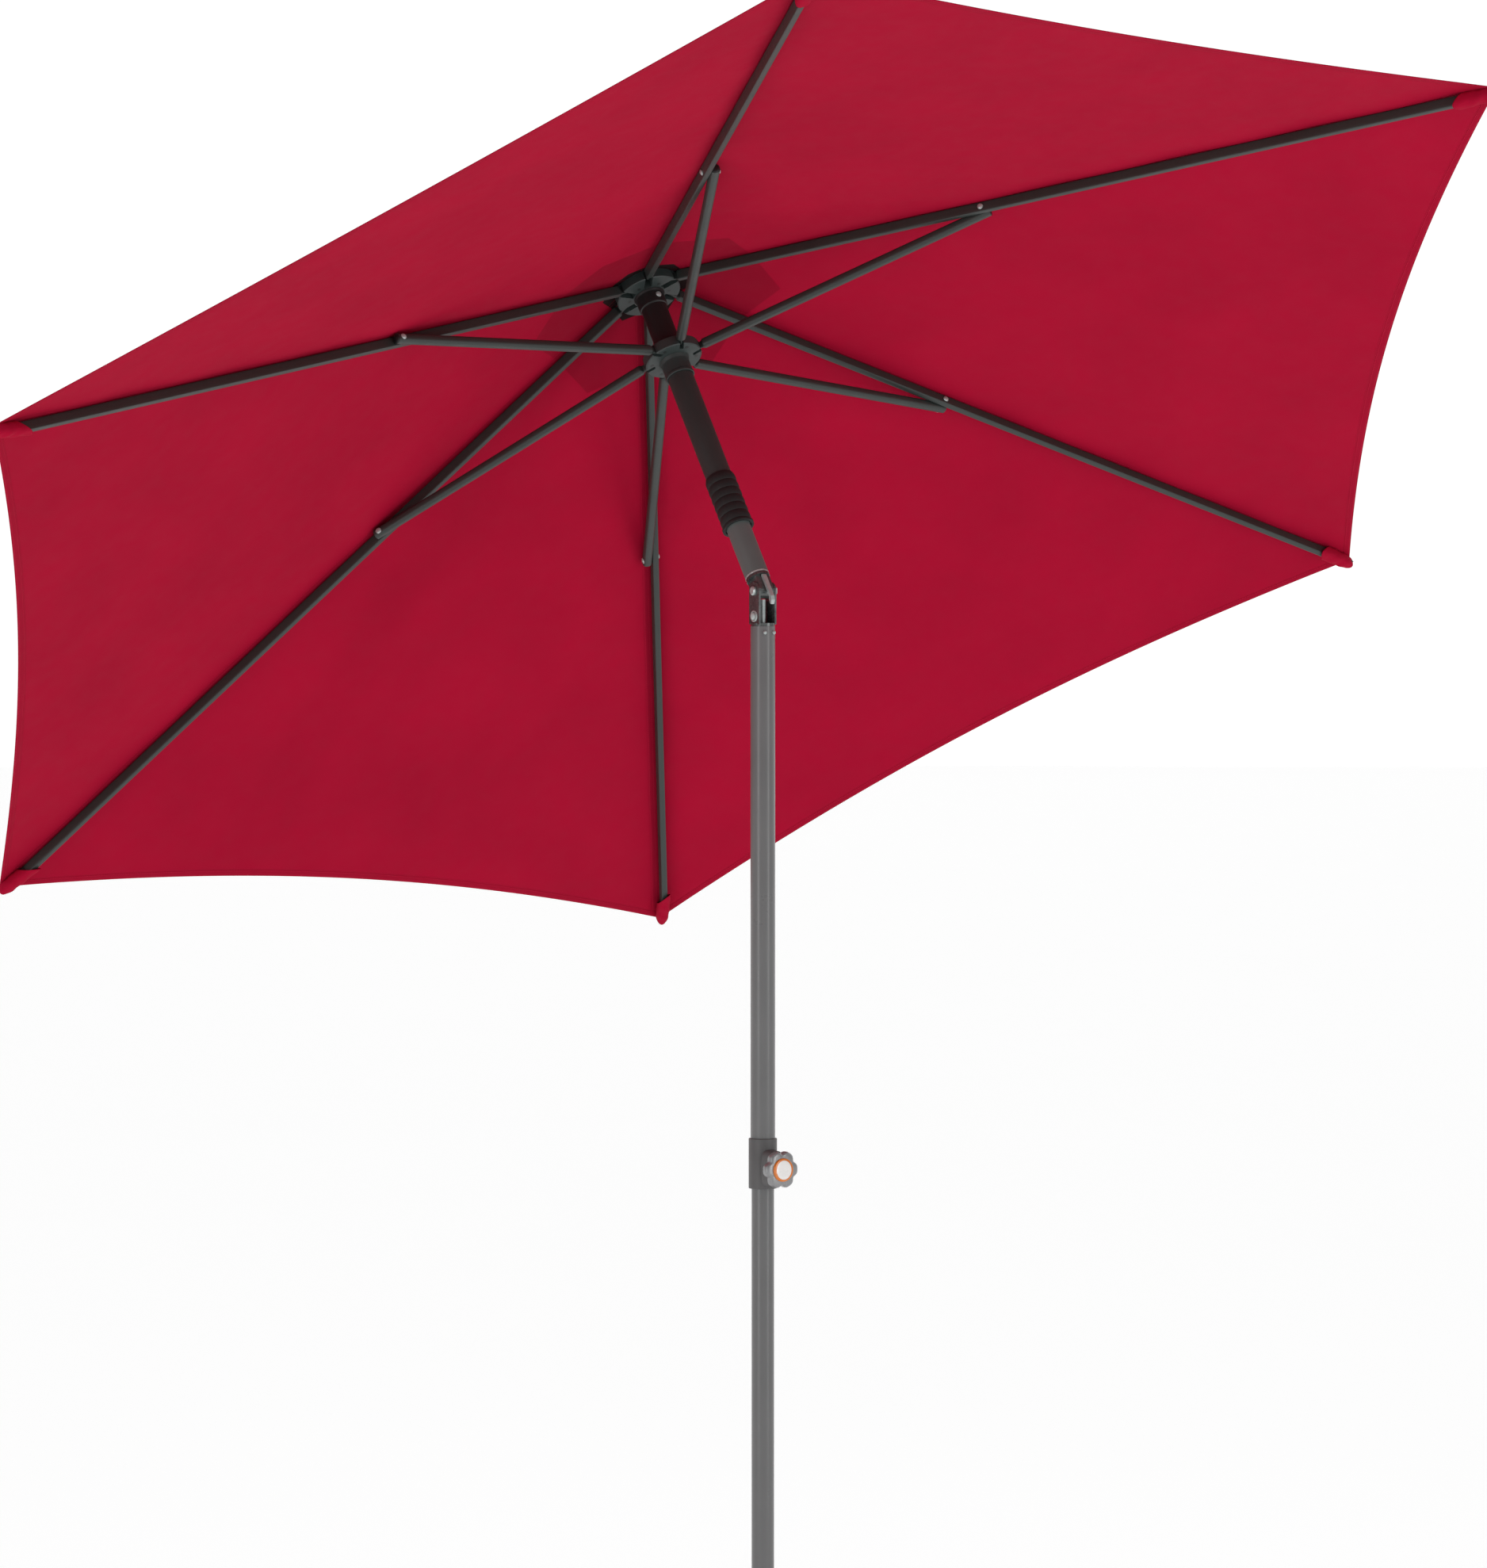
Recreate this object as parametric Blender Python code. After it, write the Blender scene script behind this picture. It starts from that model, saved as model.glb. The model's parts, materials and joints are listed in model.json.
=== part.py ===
"""Patio umbrella with base: tilting push-up umbrella with six ribs, built as an assembly of separate pieces.

World frame: metres, +Z up, pole axis at X = Y = 0, floor at Z = 0. The mast leans towards +Y at rest.
"""
import math

import bmesh
import bpy
from mathutils import Matrix, Vector

GAP = 0.0003              # clearance left between pieces that touch in the real object

# --- overall sizes
PIVOT_HEIGHT = 1.83       # tilt pivot above the floor
TILT = math.radians(34.8)  # lean of the canopy at rest
RIB_COUNT = 6
RIB_TURN = math.radians(6.8)   # turn of the rib star about the mast, from the tilt axis
CROWN_RISE = 0.532        # rib hinges above the tilt pivot, along the mast
RIB_SLOPE = math.radians(17.6)  # fall of an open rib
TIP_RADIUS = 1.242        # mast axis to canopy corner

# --- poles
UPPER_RADIUS = 0.0175
LOWER_RADIUS = UPPER_RADIUS - 0.0015
MAST_RADIUS = UPPER_RADIUS
POLE_WALL = 0.0012
UPPER_TOP = 0.050         # pole top below the tilt pivot
UPPER_LENGTH = 0.80
LOWER_OVERLAP = 0.42      # lower pole hidden inside the upper pole
POLE_FOOT = 0.030         # lower pole end above the floor
MAST_START = 0.024        # mast end above the tilt pivot, along the mast

# --- clamp collar and star knob
COLLAR_TOP = 0.777        # below the tilt pivot
COLLAR_HEIGHT = 0.071
COLLAR_RADIUS = UPPER_RADIUS + 0.0027
COLLAR_FLOOR = 0.014      # collar part below the end of the upper pole
BOSS_WIDTH = 0.020
BOSS_HEIGHT = 0.052
BOSS_REACH = COLLAR_RADIUS + 0.0158
KNOB_RADIUS = 0.0268
KNOB_DEPTH = 0.013
KNOB_LOBES = 6
STUD_RADIUS = 0.004
CAP_RADIUS = 0.0145
CAP_DEPTH = 0.0035

# --- tilt joint
CHEEK_OFFSET = UPPER_RADIUS - 0.004  # middle of a fork cheek from the pole axis
CHEEK_THICK = 0.003
CHEEK_HALF = 0.0125
TONGUE_HALF = 0.0115
PIN_RADIUS = 0.004
HEAD_RADIUS = 0.0065
BUTTON_DROP = 0.036       # push button below the tilt pivot
BUTTON_RADIUS = 0.0052
BUTTON_END = 0.0085       # inner end of the button from the pole axis
POST_RADIUS = 0.004
CATCH_LENGTH = 0.036
CATCH_BACK = -0.0145      # catch hinge behind the mast axis
CATCH_HEIGHT = 0.0165     # catch hinge above the tilt pivot, along the mast

# --- crown, runner, ribs and struts
HUB_RADIUS = 0.040        # rib hinges from the mast axis
CROWN_RADIUS = HUB_RADIUS + 0.008
CROWN_HALF = 0.0095
RUNNER_DROP = 0.118       # strut hinges below the rib hinges
STRUT_HUB = HUB_RADIUS - 0.004
RUNNER_RADIUS = STRUT_HUB + 0.0065
RUNNER_HALF = 0.0085
SLEEVE_RADIUS = MAST_RADIUS + 0.0015
SLEEVE_WALL = 0.0012
GRIP_RADIUS = SLEEVE_RADIUS + 0.003
GRIP_LENGTH = 0.088
GRIP_END = 0.109          # lower end of the grip above the tilt pivot
NECK_RADIUS = SLEEVE_RADIUS + 0.0025
NECK_LENGTH = 0.030
RIB_WIDTH = 0.010
RIB_DEPTH = 0.015
RIB_BEVEL = 0.0025
RIB_WALL = 0.0010
EYE_PLUG = 0.014          # solid end of an arm, behind its hinge eye
RIB_SIDE = -0.004         # rib plane beside the radial plane
STRUT_RADIUS = 0.0070
STRUT_SIDE = RIB_SIDE + RIB_WIDTH / 2 + STRUT_RADIUS + 0.0005
TENON_WIDTH = 0.0045
SLOT_WIDTH = 0.0053
TENON_RADIUS = 0.0055
RIVET_REACH = 0.488       # rib hinge to strut rivet, along the rib
STRUT_SINK = 0.0030       # strut end below the middle of the rib
TIP_LENGTH = 0.050

# --- canopy
FABRIC = 0.0012
SKIRT_RADIUS = CROWN_RADIUS + 0.030      # cap of the finial, over the inner edge of the canopy
CANOPY_START = CROWN_RADIUS + 0.012      # inner edge of a canopy panel, along the rib
SCALLOP = 0.037           # depth of the hem curve between two tips
HEM_STEPS = 7

# --- base
BASE_RADIUS = 0.250
BASE_HEIGHT = 0.055
BASE_TUBE_RADIUS = LOWER_RADIUS + 0.008
BASE_TUBE_WALL = 0.0020
BASE_TUBE_TOP = 0.380
FLANGE_RADIUS = 0.075
FLANGE_THICK = 0.005
BOLT_CIRCLE = 0.056
BOLT_COUNT = 3
BASE_KNOB_HEIGHT = 0.345

MATERIALS = {}


def material(name, colour, roughness, metallic=0.0):
    """One plain shader per material name."""
    if name in MATERIALS:
        return MATERIALS[name]
    mat = bpy.data.materials.new(name)
    mat.use_nodes = True
    shader = mat.node_tree.nodes["Principled BSDF"]
    shader.inputs["Base Color"].default_value = (*colour, 1.0)
    shader.inputs["Roughness"].default_value = roughness
    shader.inputs["Metallic"].default_value = metallic
    mat.diffuse_color = (*colour, 1.0)
    MATERIALS[name] = mat
    return mat


def grey_paint():
    return material("grey_paint", (0.16, 0.16, 0.17), 0.38, 0.3)


def anthracite():
    return material("anthracite", (0.045, 0.045, 0.050), 0.5)


def black_plastic():
    return material("black_plastic", (0.02, 0.02, 0.022), 0.45)


def dark_plastic():
    return material("dark_plastic", (0.085, 0.085, 0.09), 0.5)


def chrome():
    return material("chrome", (0.72, 0.72, 0.74), 0.16, 1.0)


def silver_plastic():
    return material("silver_plastic", (0.55, 0.56, 0.58), 0.35, 0.2)


def red_fabric():
    return material("red_fabric", (0.34, 0.008, 0.03), 0.85)


def concrete():
    return material("concrete", (0.20, 0.20, 0.21), 0.9)


def cap_plastic():
    return material("cap_plastic", (0.85, 0.30, 0.06), 0.4)


def add_object(name, bm, mat, frame, smooth=True):
    """Put a finished mesh in the scene under its name, placed by the given frame."""
    bmesh.ops.remove_doubles(bm, verts=bm.verts, dist=0.00001)
    bmesh.ops.recalc_face_normals(bm, faces=bm.faces)
    mesh = bpy.data.meshes.new(name)
    bm.to_mesh(mesh)
    bm.free()
    if mat is not None:
        mesh.materials.append(mat)
    if smooth:
        mesh.shade_smooth()
        mesh.set_sharp_from_angle(angle=math.radians(30))
    obj = bpy.data.objects.new(name, mesh)
    bpy.context.scene.collection.objects.link(obj)
    obj.matrix_world = frame
    return obj


def turned(bm, profile, steps, frame=None):
    """Turn a closed (radius, height) outline about the Z axis of the frame."""
    frame = frame or Matrix.Identity(4)
    rings = []
    for radius, height in profile:
        if radius < 1e-9:
            rings.append([bm.verts.new(frame @ Vector((0, 0, height)))])
            continue
        ring = []
        for i in range(steps):
            angle = 2 * math.pi * i / steps
            ring.append(bm.verts.new(frame @ Vector((radius * math.cos(angle), radius * math.sin(angle),
                                                     height))))
        rings.append(ring)
    for low, high in zip(rings, rings[1:] + rings[:1]):
        if len(low) == 1 and len(high) == 1:
            continue
        for i in range(steps):
            j = (i + 1) % steps
            corners = [low[i % len(low)], low[j % len(low)], high[j % len(high)], high[i % len(high)]]
            bm.faces.new(list(dict.fromkeys(corners)))
    return bm


def prism(bm, outline, low, high, frame=None):
    """Extrude a flat (x, y) outline between two heights of the frame."""
    frame = frame or Matrix.Identity(4)
    bottom = [bm.verts.new(frame @ Vector((x, y, low))) for x, y in outline]
    top = [bm.verts.new(frame @ Vector((x, y, high))) for x, y in outline]
    bm.faces.new(bottom[::-1])
    bm.faces.new(top)
    for i in range(len(outline)):
        j = (i + 1) % len(outline)
        bm.faces.new([bottom[i], bottom[j], top[j], top[i]])
    return bm


def box(bm, low, high, frame=None):
    """Box between two corners of the frame."""
    outline = [(low[0], low[1]), (high[0], low[1]), (high[0], high[1]), (low[0], high[1])]
    return prism(bm, outline, low[2], high[2], frame)


def cylinder(bm, radius, low, high, steps, frame=None):
    return turned(bm, [(0, low), (radius, low), (radius, high), (0, high)], steps, frame)


def tube_profile(outer, wall, low, high):
    inner = outer - wall
    return [(inner, low), (outer, low), (outer, high), (inner, high)]


def cut(obj, name, bm, operation="DIFFERENCE"):
    """Add a boolean modifier with a hidden helper shape, placed in the frame of the object."""
    tool = add_object(name, bm, None, obj.matrix_world, smooth=False)
    tool.hide_render = True
    tool.display_type = "WIRE"
    modifier = obj.modifiers.new(name, "BOOLEAN")
    modifier.operation = operation
    modifier.solver = "EXACT"
    modifier.object = tool
    return obj


def along(axis):
    """Frame whose Z axis points along the given axis letter."""
    if axis == "X":
        return Matrix.Rotation(math.pi / 2, 4, "Y")
    return Matrix.Rotation(math.pi / 2, 4, "X")


def pole_frame():
    """Frame of the upper pole: origin on the tilt pivot, Z up."""
    return Matrix.Translation((0, 0, PIVOT_HEIGHT))


def head_frame():
    """Frame of the leaning mast: origin on the tilt pivot, Z along the mast."""
    return pole_frame() @ Matrix.Rotation(-TILT, 4, "X")


def rib_angle(index):
    return RIB_TURN + 2 * math.pi * index / RIB_COUNT


def rib_frame(index):
    """Origin on the rib hinge, X out along the rib, Z away from its upper face."""
    return (head_frame() @ Matrix.Rotation(rib_angle(index), 4, "Z")
            @ Matrix.Translation((HUB_RADIUS, 0, CROWN_RISE)) @ Matrix.Rotation(RIB_SLOPE, 4, "Y"))


def rivet_point():
    """Radius and height of the strut end, from the rib hinge level on the mast axis."""
    radius = HUB_RADIUS + RIVET_REACH * math.cos(RIB_SLOPE) - STRUT_SINK * math.sin(RIB_SLOPE)
    return (radius, -RIVET_REACH * math.sin(RIB_SLOPE) - STRUT_SINK * math.cos(RIB_SLOPE))


def strut_slope():
    radius, height = rivet_point()
    return math.atan2(-RUNNER_DROP - height, radius - STRUT_HUB)


def strut_length():
    radius, height = rivet_point()
    return math.hypot(radius - STRUT_HUB, height + RUNNER_DROP)


def strut_frame(index):
    """Origin on the strut hinge of the runner, X out along the strut."""
    return (head_frame() @ Matrix.Rotation(rib_angle(index), 4, "Z")
            @ Matrix.Translation((STRUT_HUB, 0, CROWN_RISE - RUNNER_DROP))
            @ Matrix.Rotation(strut_slope(), 4, "Y"))


def rib_length():
    return (TIP_RADIUS - HUB_RADIUS) / math.cos(RIB_SLOPE)


def collar_bottom():
    return -(COLLAR_TOP + COLLAR_HEIGHT)


# --- base ------------------------------------------------------------

def build_base():
    floor = Matrix.Identity(4)
    edge = 0.012
    bore = LOWER_RADIUS + 0.001
    profile = [(0, 0), (BASE_RADIUS - edge / 2, 0), (BASE_RADIUS, edge / 2),
               (BASE_RADIUS, BASE_HEIGHT - edge * 1.6),
               (BASE_RADIUS - edge * 0.5, BASE_HEIGHT - edge * 0.7),
               (BASE_RADIUS - edge * 1.8, BASE_HEIGHT - 0.002),
               (BASE_RADIUS - edge * 3, BASE_HEIGHT), (bore, BASE_HEIGHT), (bore, POLE_FOOT - GAP),
               (0, POLE_FOOT - GAP)]
    add_object("base_slab", turned(bmesh.new(), profile, 64), concrete(), floor)

    low = BASE_HEIGHT + GAP
    inner = BASE_TUBE_RADIUS - BASE_TUBE_WALL
    weld = 0.004
    profile = [(inner, low), (FLANGE_RADIUS - 0.001, low), (FLANGE_RADIUS, low + 0.001),
               (FLANGE_RADIUS, low + FLANGE_THICK),
               (BASE_TUBE_RADIUS + weld, low + FLANGE_THICK), (BASE_TUBE_RADIUS, low + FLANGE_THICK + weld),
               (BASE_TUBE_RADIUS, BASE_TUBE_TOP), (inner, BASE_TUBE_TOP)]
    tube = add_object("base_tube", turned(bmesh.new(), profile, 32), anthracite(), floor)
    hole = Matrix.Translation((0, 0, BASE_KNOB_HEIGHT)) @ along("Y")
    cut(tube, "base_tube_hole", cylinder(bmesh.new(), STUD_RADIUS + GAP, 0.010, 0.040, 12, hole))

    for index in range(BOLT_COUNT):
        angle = math.pi / 2 + 2 * math.pi * index / BOLT_COUNT
        spot = Matrix.Translation((BOLT_CIRCLE * math.cos(angle), BOLT_CIRCLE * math.sin(angle),
                                   low + FLANGE_THICK + GAP))
        bm = cylinder(bmesh.new(), 0.011, 0.0, 0.0015, 16, spot)
        add_object(f"base_bolt_{index + 1}", bm, chrome(), floor)
        bolt = bpy.data.objects[f"base_bolt_{index + 1}"]
        cut(bolt, f"base_bolt_hex_{index + 1}", cylinder(bmesh.new(), 0.0085, 0.001, 0.008, 6, spot),
            "UNION")

    top = BASE_TUBE_TOP + GAP
    inside = LOWER_RADIUS + GAP
    skirt = inner - GAP
    profile = [(inside, top - 0.070), (skirt, top - 0.070), (skirt, top), (BASE_TUBE_RADIUS + 0.002, top),
               (BASE_TUBE_RADIUS + 0.002, top + 0.007), (BASE_TUBE_RADIUS - 0.001, top + 0.010),
               (inside, top + 0.010)]
    bush = add_object("base_bush", turned(bmesh.new(), profile, 32), black_plastic(), floor)
    cut(bush, "base_bush_hole", cylinder(bmesh.new(), STUD_RADIUS + GAP, 0.010, 0.040, 12, hole))

    bm = cylinder(bmesh.new(), STUD_RADIUS, LOWER_RADIUS + GAP, 0.046, 12, along("Y"))
    spot = Matrix.Translation((0, 0, BASE_KNOB_HEIGHT))
    stud = add_object("base_knob", bm, black_plastic(), spot)
    cut(stud, "base_knob_grip", star_knob(0.024, 0.036, 0.048, 5), "UNION")


def star_knob(radius, low, high, lobes):
    """Lobed hand wheel on the -Y axis, between two distances from the pole axis."""
    outline = []
    steps = lobes * 8
    for i in range(steps):
        angle = 2 * math.pi * i / steps
        reach = radius * (0.90 + 0.10 * math.cos(lobes * angle))
        outline.append((reach * math.cos(angle), reach * math.sin(angle)))
    return prism(bmesh.new(), outline, low, high, along("Y"))


# --- poles and clamp ------------------------------------------------------------

def build_poles():
    frame = pole_frame()
    bottom = POLE_FOOT - PIVOT_HEIGHT
    upper_end = -UPPER_TOP - UPPER_LENGTH + COLLAR_FLOOR
    lower_top = upper_end + LOWER_OVERLAP
    bm = turned(bmesh.new(), tube_profile(LOWER_RADIUS, POLE_WALL, bottom + 0.002, lower_top), 24)
    add_object("lower_pole", bm, grey_paint(), frame)
    plug = LOWER_RADIUS - POLE_WALL - GAP
    profile = [(0, bottom), (LOWER_RADIUS, bottom), (LOWER_RADIUS, bottom + 0.002 - GAP),
               (plug, bottom + 0.002 - GAP),
               (plug, bottom + 0.020), (0, bottom + 0.020)]
    add_object("lower_pole_plug", turned(bmesh.new(), profile, 24), black_plastic(), frame)
    bm = turned(bmesh.new(), tube_profile(UPPER_RADIUS, POLE_WALL, upper_end, -UPPER_TOP), 32)
    upper = add_object("upper_pole", bm, grey_paint(), frame)
    hole = Matrix.Translation((0, 0, -(COLLAR_TOP + COLLAR_HEIGHT / 2 + 0.006))) @ along("Y")
    cut(upper, "upper_pole_hole", cylinder(bmesh.new(), STUD_RADIUS + GAP, 0.010, 0.030, 12, hole))


def build_collar():
    frame = pole_frame()
    low = collar_bottom()
    upper_end = -UPPER_TOP - UPPER_LENGTH + COLLAR_FLOOR
    bore = UPPER_RADIUS + GAP
    throat = LOWER_RADIUS + GAP
    profile = [(throat, low), (COLLAR_RADIUS - 0.001, low), (COLLAR_RADIUS, low + 0.001),
               (COLLAR_RADIUS, -COLLAR_TOP - 0.001),
               (COLLAR_RADIUS - 0.001, -COLLAR_TOP), (bore, -COLLAR_TOP), (bore, upper_end - GAP),
               (throat, upper_end - GAP)]
    collar = add_object("clamp_collar", turned(bmesh.new(), profile, 32), dark_plastic(), frame)
    middle = knob_height()
    half = BOSS_WIDTH / 2
    block = box(bmesh.new(), (-half, -BOSS_REACH, middle - BOSS_HEIGHT / 2),
                (half, -(UPPER_RADIUS + 0.0008), middle + BOSS_HEIGHT / 2))
    cut(collar, "clamp_collar_boss", block, "UNION")
    hole = Matrix.Translation((0, 0, middle)) @ along("Y")
    cut(collar, "clamp_collar_hole", cylinder(bmesh.new(), STUD_RADIUS + GAP, 0.010, 0.060, 12, hole))

    spot = frame @ Matrix.Translation((0, 0, middle))
    stud = cylinder(bmesh.new(), STUD_RADIUS, LOWER_RADIUS + GAP, BOSS_REACH + 0.006, 12, along("Y"))
    knob = add_object("clamp_knob", stud, silver_plastic(), spot)
    face = BOSS_REACH + 0.002
    cut(knob, "clamp_knob_wheel", star_knob(KNOB_RADIUS, face, face + KNOB_DEPTH, KNOB_LOBES), "UNION")
    low = face + KNOB_DEPTH + GAP
    profile = [(0, low), (CAP_RADIUS, low), (CAP_RADIUS, low + CAP_DEPTH * 0.5),
               (CAP_RADIUS * 0.9, low + CAP_DEPTH * 0.85),
               (CAP_RADIUS * 0.6, low + CAP_DEPTH), (0, low + CAP_DEPTH)]
    add_object("clamp_knob_cap", turned(bmesh.new(), profile, 24, along("Y")), cap_plastic(), spot)


def knob_height():
    return -(COLLAR_TOP + COLLAR_HEIGHT / 2 + 0.006)


# --- tilt joint ------------------------------------------------------------

def strap_outline(half, low, steps=10):
    """Flat strap with a round upper end about the origin, in (y, z)."""
    outline = [(half, low)]
    for i in range(steps + 1):
        angle = math.pi * i / steps
        outline.append((half * math.cos(angle), half * math.sin(angle)))
    outline.append((-half, low))
    return outline


def cheek_frame():
    """Frame whose X and Y axes are the world Y and Z axes, and whose Z axis is the tilt axis."""
    return Matrix(((0, 0, 1, 0), (1, 0, 0, 0), (0, 1, 0, 0), (0, 0, 0, 1)))


def build_fork():
    frame = pole_frame()
    plug = UPPER_RADIUS - POLE_WALL - GAP
    rim = -UPPER_TOP + GAP
    profile = [(0, rim - 0.030), (plug, rim - 0.030), (plug, rim), (UPPER_RADIUS - 0.0002, rim),
               (UPPER_RADIUS - 0.0002, rim + 0.004),
               (0, rim + 0.004)]
    fork = add_object("tilt_fork", turned(bmesh.new(), profile, 32), chrome(), frame)
    low_z = rim + 0.002
    inner = CHEEK_OFFSET - CHEEK_THICK / 2
    outer = CHEEK_OFFSET + CHEEK_THICK / 2
    pin_bore = cylinder(bmesh.new(), PIN_RADIUS + GAP, -0.030, 0.030, 16, cheek_frame())
    for side, label in ((-1, "left"), (1, "right")):
        bm = prism(bmesh.new(), strap_outline(CHEEK_HALF, low_z), min(side * inner, side * outer),
                   max(side * inner, side * outer), cheek_frame())
        cut(fork, f"tilt_fork_{label}", bm, "UNION")
    cut(fork, "tilt_fork_bore", pin_bore)
    button = cylinder(bmesh.new(), BUTTON_RADIUS + GAP, -0.030, -0.005, 20,
                      Matrix.Translation((0, 0, -BUTTON_DROP)) @ cheek_frame())
    cut(fork, "tilt_fork_window", button)

    inside = CHEEK_OFFSET + CHEEK_THICK / 2 + GAP
    profile = [(0, -inside - 0.004), (HEAD_RADIUS * 0.7, -inside - 0.004), (HEAD_RADIUS, -inside - 0.0025),
               (HEAD_RADIUS, -inside),
               (PIN_RADIUS, -inside), (PIN_RADIUS, inside + 0.0065), (0, inside + 0.0065)]
    add_object("tilt_pin", turned(bmesh.new(), profile, 20, along("X")), chrome(), frame)
    bore = PIN_RADIUS + GAP
    nut = prism(bmesh.new(), [(0.0075 * math.cos(math.pi * i / 3),
                               0.0075 * math.sin(math.pi * i / 3)) for i in range(6)],
                inside, inside + 0.005, along("X"))
    nut = add_object("tilt_nut", nut, chrome(), frame, smooth=False)
    cut(nut, "tilt_nut_bore", cylinder(bmesh.new(), bore, inside - 0.01, inside + 0.02, 16, along("X")))

    spot = frame @ Matrix.Translation((0, 0, -BUTTON_DROP))
    face = CHEEK_OFFSET + CHEEK_THICK / 2
    profile = [(0, -face - 0.0045), (BUTTON_RADIUS * 0.8, -face - 0.0045), (BUTTON_RADIUS, -face - 0.0035),
               (BUTTON_RADIUS, -BUTTON_END),
               (0, -BUTTON_END)]
    add_object("tilt_button", turned(bmesh.new(), profile, 20, along("X")), black_plastic(), spot)

    bm = cylinder(bmesh.new(), POST_RADIUS, rim + 0.004 + GAP, -TONGUE_HALF - 0.0008, 16)
    add_object("tilt_post", bm, chrome(), frame)

    for side, label in ((-1, "left"), (1, "right")):
        spot = frame @ Matrix.Translation((side * 0.0075, -UPPER_RADIUS - GAP, -UPPER_TOP - 0.009))
        bm = turned(bmesh.new(), [(0, -0.0005), (0.0028, -0.0005), (0.0024, 0.001), (0.0012, 0.0017),
                                  (0, 0.0017)], 12, along("Y"))
        add_object(f"pole_rivet_{label}", bm, chrome(), spot)


def build_mast():
    frame = head_frame()
    top = CROWN_RISE - CROWN_HALF - GAP
    bm = turned(bmesh.new(), tube_profile(MAST_RADIUS, POLE_WALL, MAST_START, top), 32)
    add_object("mast", bm, grey_paint(), frame)

    plug = MAST_RADIUS - POLE_WALL - GAP
    rim = MAST_START - GAP
    profile = [(0, rim - 0.004), (MAST_RADIUS - 0.0002, rim - 0.004), (MAST_RADIUS - 0.0002, rim),
               (plug, rim), (plug, rim + 0.030),
               (0, rim + 0.030)]
    tongue = add_object("tilt_tongue", turned(bmesh.new(), profile, 32), chrome(), frame)
    outline = [(y, -z) for y, z in strap_outline(TONGUE_HALF, -(rim - 0.002))]
    half = CHEEK_OFFSET - CHEEK_THICK / 2 - GAP
    cut(tongue, "tilt_tongue_strap", prism(bmesh.new(), outline, -half, half, cheek_frame()), "UNION")
    cut(tongue, "tilt_tongue_bore", cylinder(bmesh.new(), PIN_RADIUS + GAP, -0.030, 0.030, 16,
                                             cheek_frame()))


def build_catch():
    """Hinged hook on the back of the joint, hanging under the mast end with its claw turned inwards."""
    spot = head_frame() @ Matrix.Translation((0, CATCH_BACK, CATCH_HEIGHT))
    half = 0.0024
    outline = [(half, 0.0), (half * 0.7, half * 0.7), (0.0, half), (-half * 0.7, half * 0.7), (-half, 0.0),
               (-half, -CATCH_LENGTH),
               (0.0, -CATCH_LENGTH - 0.006), (0.0050, -CATCH_LENGTH - 0.010),
               (0.0058, -CATCH_LENGTH - 0.008),
               (0.0045, -CATCH_LENGTH - 0.001), (half, -CATCH_LENGTH + 0.002)]
    add_object("tilt_catch", prism(bmesh.new(), outline, -0.003, 0.003, cheek_frame()), chrome(), spot,
               smooth=False)


# --- crown ------------------------------------------------------------

def slot_cutter(inner, outer, low, high, side):
    """Radial slots for all hinged arms, open towards the outside."""
    bm = bmesh.new()
    for index in range(RIB_COUNT):
        turn = Matrix.Rotation(rib_angle(index), 4, "Z")
        box(bm, (inner, side - SLOT_WIDTH / 2, low), (outer, side + SLOT_WIDTH / 2, high), turn)
    return bm


def build_crown():
    frame = head_frame() @ Matrix.Translation((0, 0, CROWN_RISE))
    plate = 0.003
    low = -CROWN_HALF
    high = CROWN_HALF
    profile = [(0, low), (CROWN_RADIUS - 0.002, low), (CROWN_RADIUS, low + 0.002),
               (CROWN_RADIUS, high - 0.002),
               (CROWN_RADIUS - 0.004, high), (0, high)]
    crown = add_object("crown_hub", turned(bmesh.new(), profile, 48), anthracite(), frame)
    slots = slot_cutter(HUB_RADIUS - TENON_RADIUS - 0.0012, CROWN_RADIUS + 0.01, low - 0.01, high - plate,
                        RIB_SIDE)
    cut(crown, "crown_slots", slots)
    neck_low = low - 0.022
    profile = [(MAST_RADIUS + GAP, neck_low), (MAST_RADIUS + 0.004, neck_low),
               (MAST_RADIUS + 0.004, low - GAP), (MAST_RADIUS + GAP, low - GAP)]
    neck = add_object("crown_neck", turned(bmesh.new(), profile, 32), black_plastic(), frame)
    spot = Matrix.Translation((0, 0, low - 0.012)) @ along("Y")
    cut(neck, "crown_neck_hole", cylinder(bmesh.new(), 0.0025, 0.010, 0.040, 12, spot))
    rim = MAST_RADIUS + 0.004
    profile = [(0, MAST_RADIUS + GAP), (0.0021, MAST_RADIUS + GAP), (0.0021, rim + GAP),
               (0.0045, rim + GAP), (0.0038, rim + 0.002),
               (0.002, rim + 0.0028), (0, rim + 0.0028)]
    add_object("crown_screw", turned(bmesh.new(), profile, 16, along("Y")), chrome(),
               frame @ Matrix.Translation((0, 0, low - 0.012)))
    base = high + GAP
    lift = canopy_lift() + FABRIC + 2 * GAP
    fall = math.tan(RIB_SLOPE)
    edge = lift - SKIRT_RADIUS * fall
    profile = [(0, base), (0.010, base), (0.010, lift - 0.010 * fall), (SKIRT_RADIUS, edge),
               (SKIRT_RADIUS, edge + 0.002),
               (SKIRT_RADIUS * 0.9, edge + 0.006), (0.040, base + 0.012), (0.016, base + 0.019),
               (0.012, base + 0.030),
               (0.017, base + 0.042), (0.015, base + 0.056), (0.007, base + 0.064), (0, base + 0.065)]
    add_object("finial", turned(bmesh.new(), profile, 32), black_plastic(), frame)


# --- runner ------------------------------------------------------------

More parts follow.
